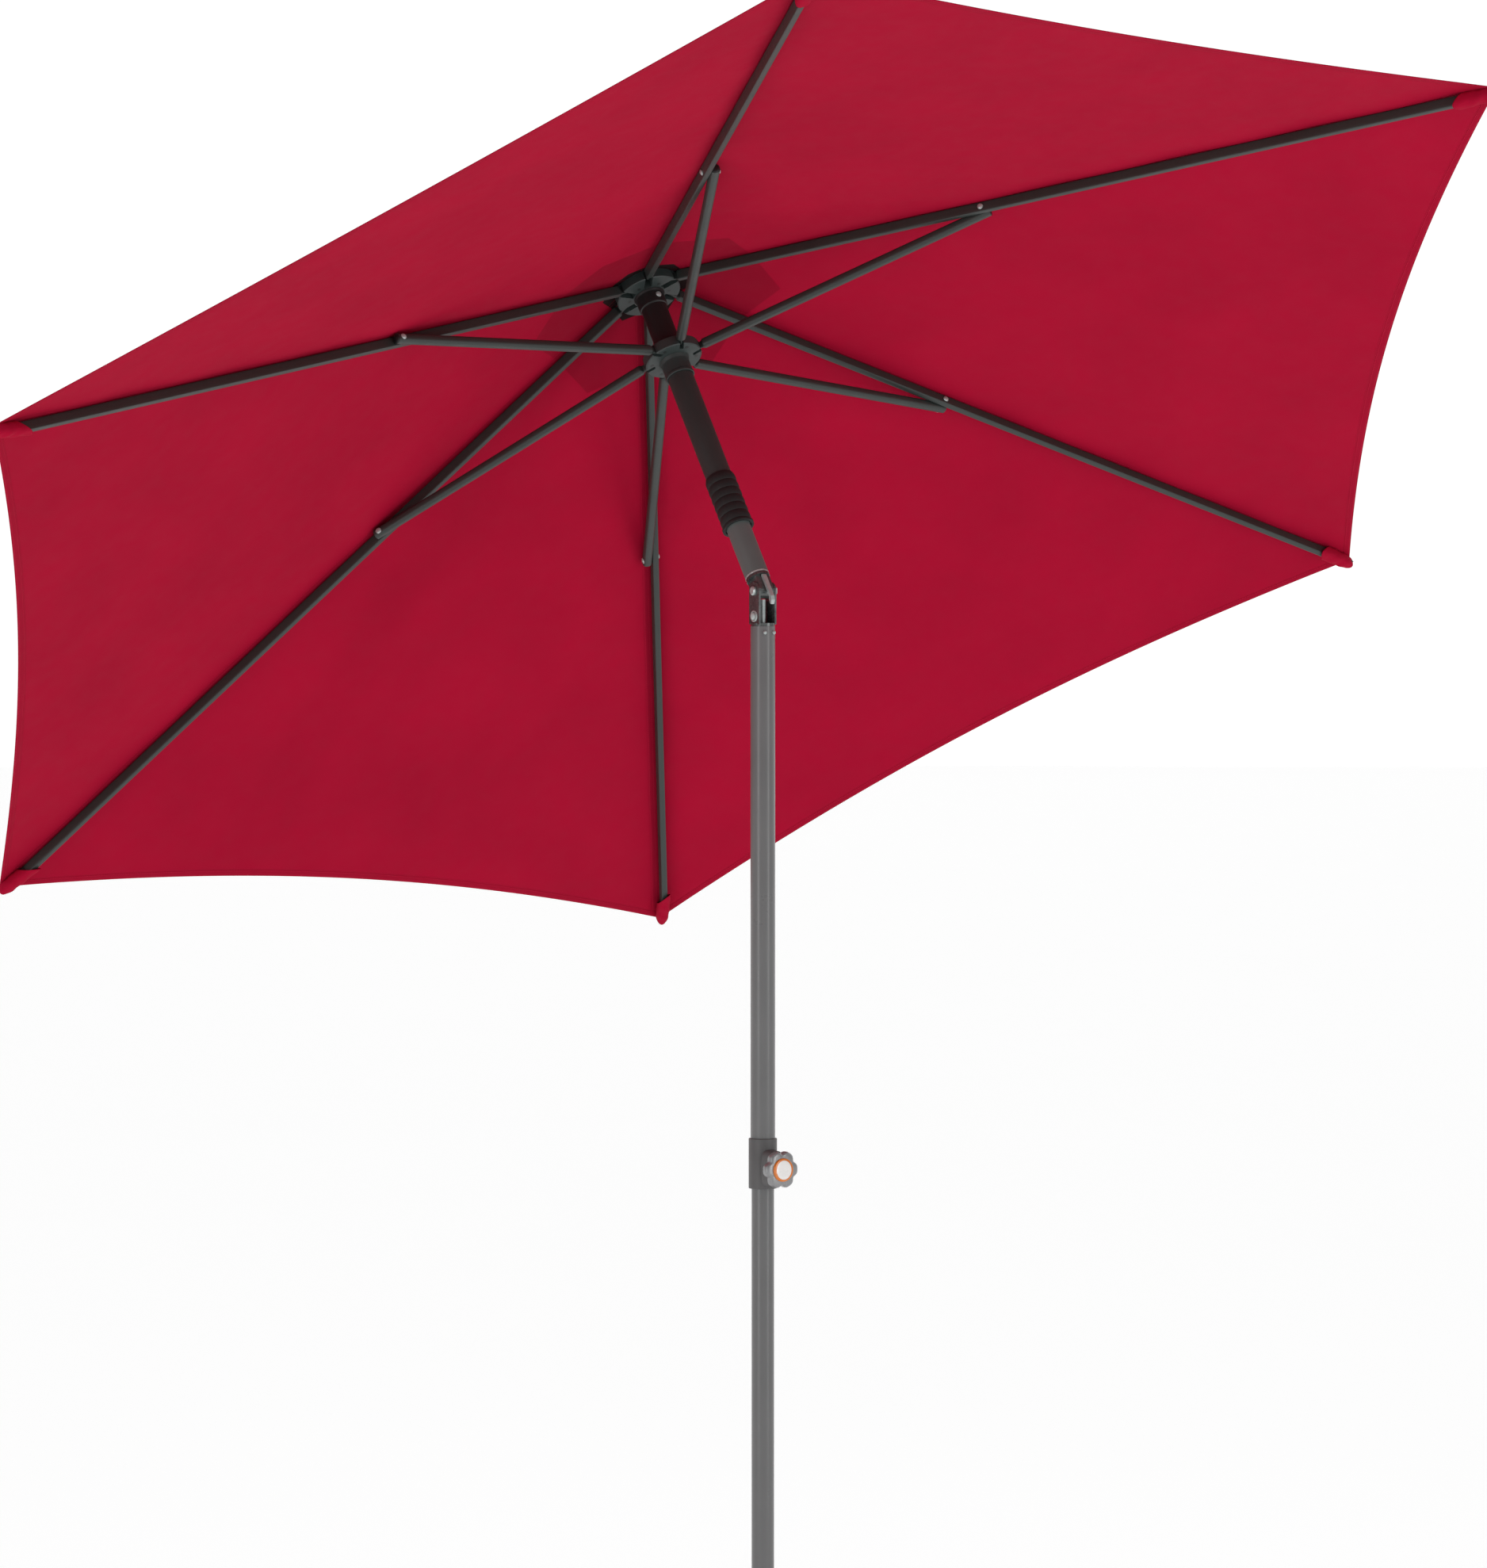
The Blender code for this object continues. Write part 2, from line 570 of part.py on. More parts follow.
def build_runner():
    frame = head_frame() @ Matrix.Translation((0, 0, CROWN_RISE - RUNNER_DROP))
    bore = MAST_RADIUS + GAP
    low = -RUNNER_HALF
    high = RUNNER_HALF
    outside = SLEEVE_RADIUS + GAP
    neck_low = low - NECK_LENGTH
    profile = [(bore, low), (outside, low), (outside, neck_low), (NECK_RADIUS - 0.001, neck_low),
               (NECK_RADIUS, neck_low + 0.001),
               (NECK_RADIUS, neck_low + 0.004), (NECK_RADIUS - 0.001,
                                                 neck_low + 0.005), (NECK_RADIUS - 0.001, low),
               (RUNNER_RADIUS - 0.002, low), (RUNNER_RADIUS, low + 0.002), (RUNNER_RADIUS, high - 0.002),
               (RUNNER_RADIUS - 0.002, high), (bore, high)]
    hub = add_object("runner_hub", turned(bmesh.new(), profile, 48), anthracite(), frame)
    slots = slot_cutter(STRUT_HUB - TENON_RADIUS - 0.0012, RUNNER_RADIUS + 0.01, low - 0.01, high - 0.003,
                        STRUT_SIDE)
    cut(hub, "runner_slots", slots)

    sleeve_in = SLEEVE_RADIUS - SLEEVE_WALL
    sleeve_top = low - GAP
    grip_top = GRIP_END + GRIP_LENGTH - (CROWN_RISE - RUNNER_DROP)
    grip_low = GRIP_END - (CROWN_RISE - RUNNER_DROP)
    bm = turned(bmesh.new(), tube_profile(SLEEVE_RADIUS, SLEEVE_RADIUS - max(sleeve_in, bore),
                                          grip_low + 0.003, sleeve_top), 32)
    add_object("runner_sleeve", bm, anthracite(), frame)

    profile = [(outside, grip_low), (GRIP_RADIUS + 0.0015, grip_low),
               (GRIP_RADIUS + 0.0015, grip_low + 0.004)]
    waves = 5
    steps = waves * 4
    span = GRIP_LENGTH - 0.008
    for i in range(steps + 1):
        height = grip_low + 0.006 + span * i / steps
        profile.append((GRIP_RADIUS - 0.0007 - 0.0007 * math.cos(2 * math.pi * waves * i / steps), height))
    profile += [(GRIP_RADIUS - 0.001, grip_top), (outside, grip_top)]
    add_object("runner_grip", turned(bmesh.new(), profile, 32), black_plastic(), frame)


# --- ribs and struts ------------------------------------------------------------

def bar_outline(width, depth, bevel):
    """Bar section in (y, z), with bevelled corners."""
    w = width / 2
    d = depth / 2
    return [(w, -d + bevel), (w, d - bevel), (w - bevel, d), (-w + bevel, d), (-w, d - bevel),
            (-w, -d + bevel), (-w + bevel, -d),
            (w - bevel, -d)]


def lengthwise():
    """Frame whose X and Y axes are the local Y and Z axes, and whose Z axis runs along the arm."""
    return Matrix(((0, 0, 1, 0), (1, 0, 0, 0), (0, 1, 0, 0), (0, 0, 0, 1)))


def tenon(bm, reach, side):
    """Flat eye round the hinge, reaching into the arm."""
    outline = [(reach, -TENON_RADIUS), (reach, TENON_RADIUS)]
    steps = 8
    for i in range(steps + 1):
        angle = math.pi / 2 + math.pi * i / steps
        outline.append((TENON_RADIUS * math.cos(angle), TENON_RADIUS * math.sin(angle)))
    frame = Matrix(((1, 0, 0, 0), (0, 0, 1, 0), (0, 1, 0, 0), (0, 0, 0, 1)))
    return prism(bm, outline, side - TENON_WIDTH / 2, side + TENON_WIDTH / 2, frame)


def build_rib(index):
    frame = rib_frame(index)
    shift = Matrix.Translation((0, RIB_SIDE, 0))
    start = CROWN_RADIUS - HUB_RADIUS + 0.008
    end = rib_length() - TIP_LENGTH
    bm = prism(bmesh.new(), bar_outline(RIB_WIDTH, RIB_DEPTH, RIB_BEVEL), start, end, shift @ lengthwise())
    rib = add_object(f"rib_{index + 1}", bm, anthracite(), frame)
    cut(rib, f"rib_eye_{index + 1}", tenon(bmesh.new(), start + 0.006, RIB_SIDE), "UNION")
    wall = 2 * RIB_WALL
    pocket = bar_outline(RIB_WIDTH - wall, RIB_DEPTH - wall, RIB_BEVEL - RIB_WALL / 2)
    hollow = prism(bmesh.new(), pocket, start + EYE_PLUG, end + 0.01, shift @ lengthwise())
    cut(rib, f"rib_hollow_{index + 1}", hollow)
    spot = Matrix.Translation((RIVET_REACH, RIB_SIDE, 0)) @ along("Y")
    cut(rib, f"rib_hole_{index + 1}", cylinder(bmesh.new(), 0.0025 + GAP, -0.010, 0.010, 12, spot))

    face = RIB_WIDTH / 2 + GAP
    profile = [(0, -RIB_WIDTH / 2), (0.0025, -RIB_WIDTH / 2), (0.0025, face), (0.0045, face),
               (0.004, face + 0.0015),
               (0.002, face + 0.0025), (0, face + 0.0025)]
    add_object(f"rib_rivet_{index + 1}", turned(bmesh.new(), profile, 12, spot), chrome(), frame)

    w = RIB_WIDTH / 2
    low = -RIB_DEPTH / 2
    high = RIB_DEPTH / 2
    reach = rib_length()
    outline = [(end + GAP, low + 0.001), (end + 0.025, low + 0.002), (reach - 0.008, low + 0.006),
               (reach - 0.002, 0.0),
               (reach - 0.008, high - 0.004), (end + 0.025, high - 0.0005), (end + GAP, high - 0.0005)]
    side_view = Matrix(((1, 0, 0, 0), (0, 0, 1, 0), (0, 1, 0, 0), (0, 0, 0, 1)))
    bm = prism(bmesh.new(), outline, RIB_SIDE - w + 0.0005, RIB_SIDE + w - 0.0005, side_view)
    add_object(f"rib_tip_{index + 1}", bm, black_plastic(), frame)


def build_strut(index):
    frame = strut_frame(index)
    shift = Matrix.Translation((0, STRUT_SIDE, 0))
    start = RUNNER_RADIUS - STRUT_HUB + 0.008
    end = strut_length() + 0.010
    bm = cylinder(bmesh.new(), STRUT_RADIUS, start, end, 14, shift @ lengthwise())
    strut = add_object(f"strut_{index + 1}", bm, anthracite(), frame)
    cut(strut, f"strut_eye_{index + 1}", tenon(bmesh.new(), start + 0.006, STRUT_SIDE), "UNION")
    hollow = cylinder(bmesh.new(), STRUT_RADIUS - RIB_WALL, start + EYE_PLUG, end + 0.01, 14,
                      shift @ lengthwise())
    cut(strut, f"strut_hollow_{index + 1}", hollow)


# --- canopy ------------------------------------------------------------

def hem_reach(side_share):
    """Share of the full radius kept by the hem, from a corner (0) to the middle of a side (1)."""
    across = math.cos(math.pi / RIB_COUNT)
    middle = 1.0 - SCALLOP / (TIP_RADIUS * across)
    return middle + (1.0 - middle) * (1.0 - side_share) ** 2


def canopy_lift():
    """Height of the canopy underside over the rib hinges, where it would meet the mast axis."""
    ridge = (abs(RIB_SIDE) + RIB_WIDTH / 2 - RIB_BEVEL) * side_fall()
    return (RIB_DEPTH / 2 + GAP) / math.cos(RIB_SLOPE) + HUB_RADIUS * math.tan(RIB_SLOPE) + ridge


def side_fall():
    """Fall of the canopy sideways from a rib, with flat cloth between neighbouring ribs."""
    return math.tan(RIB_SLOPE) * math.tan(math.pi / RIB_COUNT)


def build_canopy(index):
    """Kite over one rib: both halves fall from the rib to the middles of the neighbouring gores."""
    frame = head_frame() @ Matrix.Rotation(rib_angle(index), 4,
                                           "Z") @ Matrix.Translation((0, 0, CROWN_RISE))
    lift = canopy_lift()
    fall = math.tan(RIB_SLOPE)
    half_turn = math.pi / RIB_COUNT
    outline = []
    for step in range(-HEM_STEPS, HEM_STEPS + 1):
        share = abs(step) / HEM_STEPS
        sign = 1 if step > 0 else -1
        x = TIP_RADIUS * (1.0 - share * (1 - math.cos(half_turn) ** 2))
        y = sign * share * TIP_RADIUS * math.sin(half_turn) * math.cos(half_turn)
        keep = hem_reach(share)
        outline.append((x * keep, y * keep, lift - x * keep * fall - abs(y) * keep * side_fall()))
    inner = []
    for step in (HEM_STEPS, 0, -HEM_STEPS):
        share = step / HEM_STEPS
        x = CANOPY_START * (1.0 - abs(share) * (1 - math.cos(half_turn) ** 2))
        y = share * CANOPY_START * math.sin(half_turn) * math.cos(half_turn)
        inner.append((x, y, lift - x * fall - abs(y) * side_fall()))
    seam = GAP / 2 / math.cos(half_turn)
    bm = bmesh.new()
    layers = []
    for rise in (0.0, FABRIC):
        ring = []
        for x, y, z in outline + inner:
            pull = seam * abs(y) / max(abs(x) * math.tan(half_turn), 1e-9)
            ring.append(bm.verts.new((x, y - math.copysign(pull, y), z + rise)))
        layers.append(ring)
    count = len(outline) + len(inner)
    fold_out = HEM_STEPS
    fold_in = len(outline) + 1
    halves = [list(range(fold_out + 1)) + list(range(fold_in, count)), list(range(fold_out, fold_in + 1))]
    for half in halves:
        bm.faces.new([layers[0][i] for i in half][::-1])
        bm.faces.new([layers[1][i] for i in half])
    for i in range(count):
        j = (i + 1) % count
        bm.faces.new([layers[0][i], layers[0][j], layers[1][j], layers[1][i]])
    add_object(f"canopy_panel_{index + 1}", bm, red_fabric(), frame, smooth=False)


def main():
    for obj in list(bpy.data.objects):
        bpy.data.objects.remove(obj, do_unlink=True)
    build_base()
    build_poles()
    build_collar()
    build_fork()
    build_mast()
    build_catch()
    build_crown()
    build_runner()
    for index in range(RIB_COUNT):
        build_rib(index)
        build_strut(index)
        build_canopy(index)


main()
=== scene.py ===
"""Patio umbrella with base: the finished look of every piece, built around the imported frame.

Each piece is a surface worked out with numpy and rides on its body of the frame. Units are metres, +Z is
up, and the mast leans towards +Y at rest.
"""
import json
import math

import bpy
import numpy as np
from mathutils import Matrix, Vector


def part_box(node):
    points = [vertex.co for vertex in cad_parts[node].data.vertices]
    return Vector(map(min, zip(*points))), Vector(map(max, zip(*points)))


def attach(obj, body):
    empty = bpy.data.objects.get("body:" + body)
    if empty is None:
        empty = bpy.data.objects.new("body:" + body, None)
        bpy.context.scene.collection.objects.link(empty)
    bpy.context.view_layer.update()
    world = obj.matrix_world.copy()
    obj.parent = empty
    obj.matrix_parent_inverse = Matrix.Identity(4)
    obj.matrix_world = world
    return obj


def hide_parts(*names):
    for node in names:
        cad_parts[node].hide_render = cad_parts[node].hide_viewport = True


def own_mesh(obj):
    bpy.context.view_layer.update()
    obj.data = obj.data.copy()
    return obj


bl_info = {
    "name": "Patio Umbrella",
    "version": (1, 0, 0),
    "blender": (4, 5, 0),
    "location": "View3D > Sidebar > Umbrella",
    "description": "Builds the cloth, poles, joint and base of a tilting patio umbrella",
    "category": "Add Mesh",
}

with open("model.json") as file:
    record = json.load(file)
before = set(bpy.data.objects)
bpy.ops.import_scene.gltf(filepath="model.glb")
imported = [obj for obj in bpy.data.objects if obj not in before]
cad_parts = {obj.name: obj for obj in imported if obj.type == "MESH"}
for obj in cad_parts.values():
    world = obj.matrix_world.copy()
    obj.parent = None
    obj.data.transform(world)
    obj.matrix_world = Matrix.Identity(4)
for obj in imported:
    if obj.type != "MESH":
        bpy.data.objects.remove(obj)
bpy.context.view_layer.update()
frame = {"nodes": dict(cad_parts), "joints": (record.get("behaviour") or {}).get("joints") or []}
JOINTS = {joint["name"]: joint for joint in frame["joints"]}
RIB_COUNT = sum(name.startswith("rib_fold_") for name in JOINTS)
RIBS = range(1, RIB_COUNT + 1)
GORE_HALF = math.pi / RIB_COUNT


# --- frames taken from the joints -----------------------------------------------------------------

def columns(x_axis, y_axis, z_axis, origin):
    """Four by four frame from three axes and an origin."""
    matrix = np.eye(4)
    matrix[:3, 0], matrix[:3, 1], matrix[:3, 2], matrix[:3, 3] = x_axis, y_axis, z_axis, origin
    return matrix


def joint_point(name):
    return np.array(JOINTS[name]["pos_m"], float)


def pole_frame(height=0.0):
    """Upright frame on the pole axis, at a height above the floor."""
    return columns((1, 0, 0), (0, 1, 0), (0, 0, 1), (0, 0, height))


def knob_frame(name):
    """Z out of a clamp screw, away from the pole, Y up."""
    return columns((-1, 0, 0), (0, 0, 1), (0, -1, 0), joint_point(name) * (1, 0, 1))


MAST_AXIS = np.array(JOINTS["runner_slide"]["axis"], float)
PIVOT = joint_point("canopy_tilt")
PIVOT_HEIGHT = float(PIVOT[2])


def mast_frame(rise=0.0):
    """Frame on the mast axis: Z along the mast, X along the tilt pin."""
    side = np.array((1.0, 0.0, 0.0))
    return columns(side, np.cross(MAST_AXIS, side), MAST_AXIS, PIVOT + MAST_AXIS * rise)


def radial(prefix, index):
    """Unit vector from the mast axis out along one rib or strut."""
    return np.cross(np.array(JOINTS[f"{prefix}_{index}"]["axis"], float), MAST_AXIS)


def star_frame(index):
    """Frame on the mast axis at the rib hinges: X out over the rib, Z along the mast."""
    out = radial("rib_fold", index)
    hinge = joint_point(f"rib_fold_{index}")
    reach = float(np.dot(hinge - PIVOT, out))
    return columns(out, np.cross(MAST_AXIS, out), MAST_AXIS, hinge - out * reach)


def arm_frame(prefix, index, slope):
    """Frame on a hinge: X along the arm, falling by the slope, Z out of its upper face."""
    out = radial(prefix, index)
    along = out * math.cos(slope) - MAST_AXIS * math.sin(slope)
    above = out * math.sin(slope) + MAST_AXIS * math.cos(slope)
    return columns(along, np.cross(above, along), above, joint_point(f"{prefix}_{index}"))


def hub_reach(prefix):
    """Distance of the hinges from the mast axis."""
    return float(np.dot(joint_point(f"{prefix}_1") - PIVOT, radial(prefix, 1)))


def hinge_rise(prefix):
    return float(np.dot(joint_point(f"{prefix}_1") - PIVOT, MAST_AXIS))


CROWN_RISE = hinge_rise("rib_fold")
RUNNER_RISE = hinge_rise("strut_fold")
LOWER_TUBE = 0.016       # radius of the lower pole
UPPER_TUBE = 0.0175      # radius of the upper pole and the mast
TUBE_WALL = 0.0012
LOWER_BORE = 0.0163      # inside radius of what the lower pole passes through
UPPER_BORE = 0.0178      # inside radius of what the upper pole or the mast passes through
ON_AXIS = 0.00002        # least radius of a turned outline, which keeps its ring of points at the axis
MAST_FOOT = 0.024        # lower end of the mast above the tilt pin, along the mast
GRIP_FOOT = 0.109        # lower end of the grip above the tilt pin, along the mast


# --- sizes and colours ----------------------------------------------------------------------------

def size(name, description, default):
    return bpy.props.FloatProperty(name=name, description=description, default=default, unit="LENGTH",
                                   precision=4)


def colour(name, description, default):
    return bpy.props.FloatVectorProperty(name=name, description=description, default=default,
                                         subtype="COLOR", size=3, min=0.0, max=1.0)


class UmbrellaCloth(bpy.types.PropertyGroup):
    red: colour("Cloth", "Colour of the canopy cloth", (0.385, 0.0022, 0.027))
    slope: bpy.props.FloatProperty(name="Rib slope", description="Fall of an open rib",
                                   default=math.radians(17.6), subtype="ANGLE")
    corner: size("Corner", "Mast axis to a canopy corner", 1.242)
    opening: size("Opening", "Inner edge of the cloth from the mast axis", 0.052)
    scallop: size("Scallop", "Depth of the hem curve between two corners", 0.037)
    crest: size("Crest", "Rise of the cloth between two ribs at the hem", 0.008)
    thickness: size("Thickness", "Thickness of the cloth", 0.0008)
    lift: size("Lift", "Cloth above the rib hinges, on the mast axis", 0.0232)
    hem: size("Hem", "Width of the folded hem", 0.012)
    pocket: size("Pocket", "Length of a corner pocket", 0.052)
    patch: size("Patch", "Reach of the second layer round the crown", 0.165)


class UmbrellaFrame(bpy.types.PropertyGroup):
    grey: colour("Pole paint", "Colour of the poles", (0.150, 0.153, 0.154))
    mast: colour("Mast paint", "Colour of the tilting mast", (0.098, 0.116, 0.112))
    dark: colour("Rib paint", "Colour of the ribs and struts", (0.026, 0.034, 0.031))
    hub: colour("Hub plastic", "Colour of the hubs and the sleeve", (0.024, 0.036, 0.034))
    black: colour("Black plastic", "Colour of the small plastic parts", (0.0060, 0.0075, 0.0073))
    collar: colour("Collar plastic", "Colour of the clamp collar", (0.100, 0.100, 0.101))
    metal: colour("Plated steel", "Colour of the plated joint", (0.44, 0.50, 0.49))
    fork: colour("Dark plate", "Colour of the tilt fork and tongue", (0.125, 0.138, 0.136))
    silver: colour("Silver lacquer", "Colour of the star knob", (0.27, 0.275, 0.28))
    cap: colour("Cap", "Colour of the rim of the knob cap", (0.72, 0.19, 0.015))
    rib_width: size("Rib width", "Width of a rib", 0.010)
    rib_depth: size("Rib depth", "Depth of a rib", 0.015)
    rib_side: size("Rib side", "Rib plane beside the radial plane", -0.004)
    strut_side: size("Strut side", "Strut plane beside the radial plane", 0.0085)
    strut_radius: size("Strut radius", "Radius of a strut", 0.0070)
    eye: size("Eye", "Thickness of a hinge eye", 0.0045)
    rivet: size("Rivet", "Rib hinge to strut rivet", 0.488)
    sink: size("Strut sink", "Strut end below the middle of its rib", 0.003)
    overhang: size("Strut end", "Strut length past its rivet", 0.010)


class UmbrellaBase(bpy.types.PropertyGroup):
    slab: colour("Slab", "Colour of the cast slab", (0.21, 0.21, 0.215))


# --- mesh makers ----------------------------------------------------------------------------------

def place(points, matrix):
    """Carry points of shape (..., 3) through a four by four frame."""
    return points @ matrix[:3, :3].T + matrix[:3, 3]


def add_piece(name, points, faces, finish, body, replaced=(), uv=None, sharp=35.0):
    """Make one object from an array of points and a list of faces, and let it ride on a body."""
    mesh = bpy.data.meshes.new(name)
    mesh.from_pydata(np.asarray(points, float).reshape(-1, 3).tolist(), [], faces)
    if uv is not None:
        layer = mesh.uv_layers.new(name="Cloth")
        corner = np.zeros(len(mesh.loops), dtype=np.int32)
        mesh.loops.foreach_get("vertex_index", corner)
        layer.data.foreach_set("uv", np.asarray(uv, np.float32).reshape(-1, 2)[corner].ravel())
    mesh.validate()
    mesh.materials.append(finish)
    mesh.shade_smooth()
    mesh.set_sharp_from_angle(angle=math.radians(sharp))
    piece = bpy.data.objects.new(name, mesh)
    bpy.context.scene.collection.objects.link(piece)
    if body:
        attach(piece, body)
    if replaced:
        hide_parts(*replaced)
    return piece


def grid_faces(rows, cols, wrap_rows=False, wrap_cols=False, start=0):
    """Quads of a grid of points, row by row; a wrapped direction joins its last line to its first."""
    last_row = rows if wrap_rows else rows - 1
    last_col = cols if wrap_cols else cols - 1
    i, j = np.meshgrid(np.arange(last_row), np.arange(last_col), indexing="ij")
    ni, nj = (i + 1) % rows, (j + 1) % cols
    quads = np.stack([i * cols + j, i * cols + nj, ni * cols + nj, ni * cols + j], axis=-1)
    return (quads.reshape(-1, 4) + start).tolist()


def rounded(profile, bevel, steps=3):
    """Outline whose corners are cut back by up to the bevel and rounded with a short quadratic curve."""
    points = np.asarray(profile, float)
    before, after = np.roll(points, 1, axis=0), np.roll(points, -1, axis=0)
    to_before, to_after = before - points, after - points
    len_b = np.linalg.norm(to_before, axis=1, keepdims=True)
    len_a = np.linalg.norm(to_after, axis=1, keepdims=True)
    back = np.minimum(bevel, 0.45 * np.minimum(len_b, len_a))
    p0, p2 = points + to_before / len_b * back, points + to_after / len_a * back
    t = np.linspace(0.0, 1.0, steps + 1)[None, :, None]
    curve = (1 - t) ** 2 * p0[:, None] + 2 * t * (1 - t) * points[:, None] + t ** 2 * p2[:, None]
    return curve.reshape(-1, 2)


def turned(profile, matrix, steps=72, bevel=0.0008):
    """Closed (radius, height) outline, with rounded corners, turned about Z: (r cos a, r sin a, h)."""
    outline = rounded(profile, bevel) if bevel else np.asarray(profile, float)
    angle = np.linspace(0.0, 2 * math.pi, steps, endpoint=False)
    r, h = np.maximum(outline[:, :1], ON_AXIS), outline[:, 1:]
    points = np.stack([r * np.cos(angle), r * np.sin(angle), np.broadcast_to(h, (len(outline), steps))],
                      axis=-1)
    area = np.sum(outline[:, 0] * np.roll(outline[:, 1], -1) - np.roll(outline[:, 0], -1) * outline[:, 1])
    if area < 0:
        points = points[::-1]
    return place(points, matrix), grid_faces(len(outline), steps, wrap_rows=True, wrap_cols=True)


def add_turned(name, profile, matrix, finish, body, replaced=(), steps=72, bevel=0.0008):
    points, faces = turned(profile, matrix, steps, bevel)
    return add_piece(name, points, [face[::-1] for face in faces], finish, body, replaced)


def superellipse(width, depth, power, steps):
    """Section |y / w|^p + |z / d|^p = 1 as arrays over the last axis: a box with round corners for a
    high power.
    """
    angle = np.linspace(0.0, 2 * math.pi, steps, endpoint=False)
    c, s = np.cos(angle), np.sin(angle)
    reach = (np.abs(c) ** power + np.abs(s) ** power) ** (-1.0 / power)
    return width[..., None] / 2 * reach * c, depth[..., None] / 2 * reach * s


def swept(stations, width, depth, side, height, power, steps=32):
    """Superellipse carried along X: at each station its own width, depth, sideways shift and height;
    both ends closed.
    """
    y, z = superellipse(np.asarray(width, float), np.asarray(depth, float), power, steps)
    x = np.broadcast_to(np.asarray(stations, float)[:, None], y.shape)
    rings = np.stack([x, y + np.asarray(side, float)[:, None], z + np.asarray(height, float)[:, None]],
                     axis=-1)
    rows = len(rings)
    ends = np.stack([rings[0].mean(axis=0), rings[-1].mean(axis=0)])
    points = np.concatenate([rings.reshape(-1, 3), ends])
    faces = [face[::-1] for face in grid_faces(rows, steps, wrap_cols=True)]
    first, last = rows * steps, rows * steps + 1
    k = np.arange(steps)
    near = np.stack([np.full(steps, first), (k + 1) % steps, k], axis=-1)
    far = np.stack([np.full(steps, last), (rows - 1) * steps + k, (rows - 1) * steps + (k + 1) % steps],
                   axis=-1)
    return points, faces + near.tolist() + far.tolist()


def merged(parts):
    """Join several (points, faces) into one pair."""
    points, faces, start = [], [], 0
    for part_points, part_faces in parts:
        flat = np.asarray(part_points, float).reshape(-1, 3)
        points.append(flat)
        faces += [[v + start for v in face] for face in part_faces]
        start += len(flat)
    return np.concatenate(points), faces


# --- finishes -------------------------------------------------------------------------------------

class Finish:
    """Small helper that strings shader nodes together."""

    def __init__(self, name, colour_value, roughness, metallic=0.0):
        self.material = bpy.data.materials.new(name)
        self.material.use_nodes = True
        self.nodes = self.material.node_tree.nodes
        self.links = self.material.node_tree.links
        self.shader = self.nodes["Principled BSDF"]
        self.shader.inputs["Base Color"].default_value = (*colour_value, 1.0)
        self.shader.inputs["Roughness"].default_value = roughness
        self.shader.inputs["Metallic"].default_value = metallic
        self.colour_value = tuple(colour_value)
        self.place = self.nodes.new("ShaderNodeTexCoord").outputs["Object"]

    def noise(self, scale, detail=3.0, rough=0.5, stretch=None):
        """Cloudy pattern over object coordinates, optionally stretched along one axis."""
        node = self.nodes.new("ShaderNodeTexNoise")
        node.inputs["Scale"].default_value = scale
        node.inputs["Detail"].default_value = detail
        node.inputs["Roughness"].default_value = rough
        source = self.place
        if stretch:
            mapping = self.nodes.new("ShaderNodeMapping")
            mapping.inputs["Scale"].default_value = stretch
            self.links.new(source, mapping.inputs["Vector"])
            source = mapping.outputs["Vector"]
        self.links.new(source, node.inputs["Vector"])
        return node.outputs["Fac"]

    def remap(self, source, low, high, to_low, to_high):
        """Straight-line map of one value range to another, held at both ends."""
        node = self.nodes.new("ShaderNodeMapRange")
        node.inputs["From Min"].default_value = low
        node.inputs["From Max"].default_value = high
        node.inputs["To Min"].default_value = to_low
        node.inputs["To Max"].default_value = to_high
        self.links.new(source, node.inputs["Value"])
        return node.outputs["Result"]

    def math(self, operation, first, second=None, third=None):
        node = self.nodes.new("ShaderNodeMath")
        node.operation = operation
        for index, value in enumerate((first, second, third)):
            if value is None:
                continue
            if isinstance(value, (int, float)):
                node.inputs[index].default_value = value
            else:
                self.links.new(value, node.inputs[index])
        return node.outputs[0]

    def tint(self, factor, low, high):
        """Base colour between two multiples of the finish's own colour."""
        node = self.nodes.new("ShaderNodeMix")
        node.data_type = "RGBA"
        node.inputs[6].default_value = (*[min(1.0, c * low) for c in self.colour_value], 1.0)
        node.inputs[7].default_value = (*[min(1.0, c * high) for c in self.colour_value], 1.0)
        self.links.new(factor, node.inputs[0])
        self.links.new(node.outputs[2], self.shader.inputs["Base Color"])
        return node.outputs[2]

    def over(self, base, factor, tone):
        """Lay another colour over the base where the factor is high."""
        node = self.nodes.new("ShaderNodeMix")
        node.data_type = "RGBA"
        node.inputs[7].default_value = (*tone, 1.0)
        self.links.new(factor, node.inputs[0])
        self.links.new(base, node.inputs[6])
        self.links.new(node.outputs[2], self.shader.inputs["Base Color"])
        return node.outputs[2]

    def rough(self, factor, low, high):
        self.links.new(self.remap(factor, 0.3, 0.7, low, high), self.shader.inputs["Roughness"])

    def bump(self, height, strength, distance):
        """Raise the surface by a height pattern, on top of any bump already there."""
        node = self.nodes.new("ShaderNodeBump")
        node.inputs["Strength"].default_value = strength
        node.inputs["Distance"].default_value = distance
        self.links.new(height, node.inputs["Height"])
        if self.shader.inputs["Normal"].is_linked:
            self.links.new(self.shader.inputs["Normal"].links[0].from_socket, node.inputs["Normal"])
        self.links.new(node.outputs["Normal"], self.shader.inputs["Normal"])


MADE = {}


def finish(name, maker):
    """Each finish is made once and shared."""
    if name not in MADE:
        MADE[name] = maker(name)
    return MADE[name]


def settings():
    scene = bpy.context.scene
    return scene.umbrella_cloth, scene.umbrella_frame, scene.umbrella_base


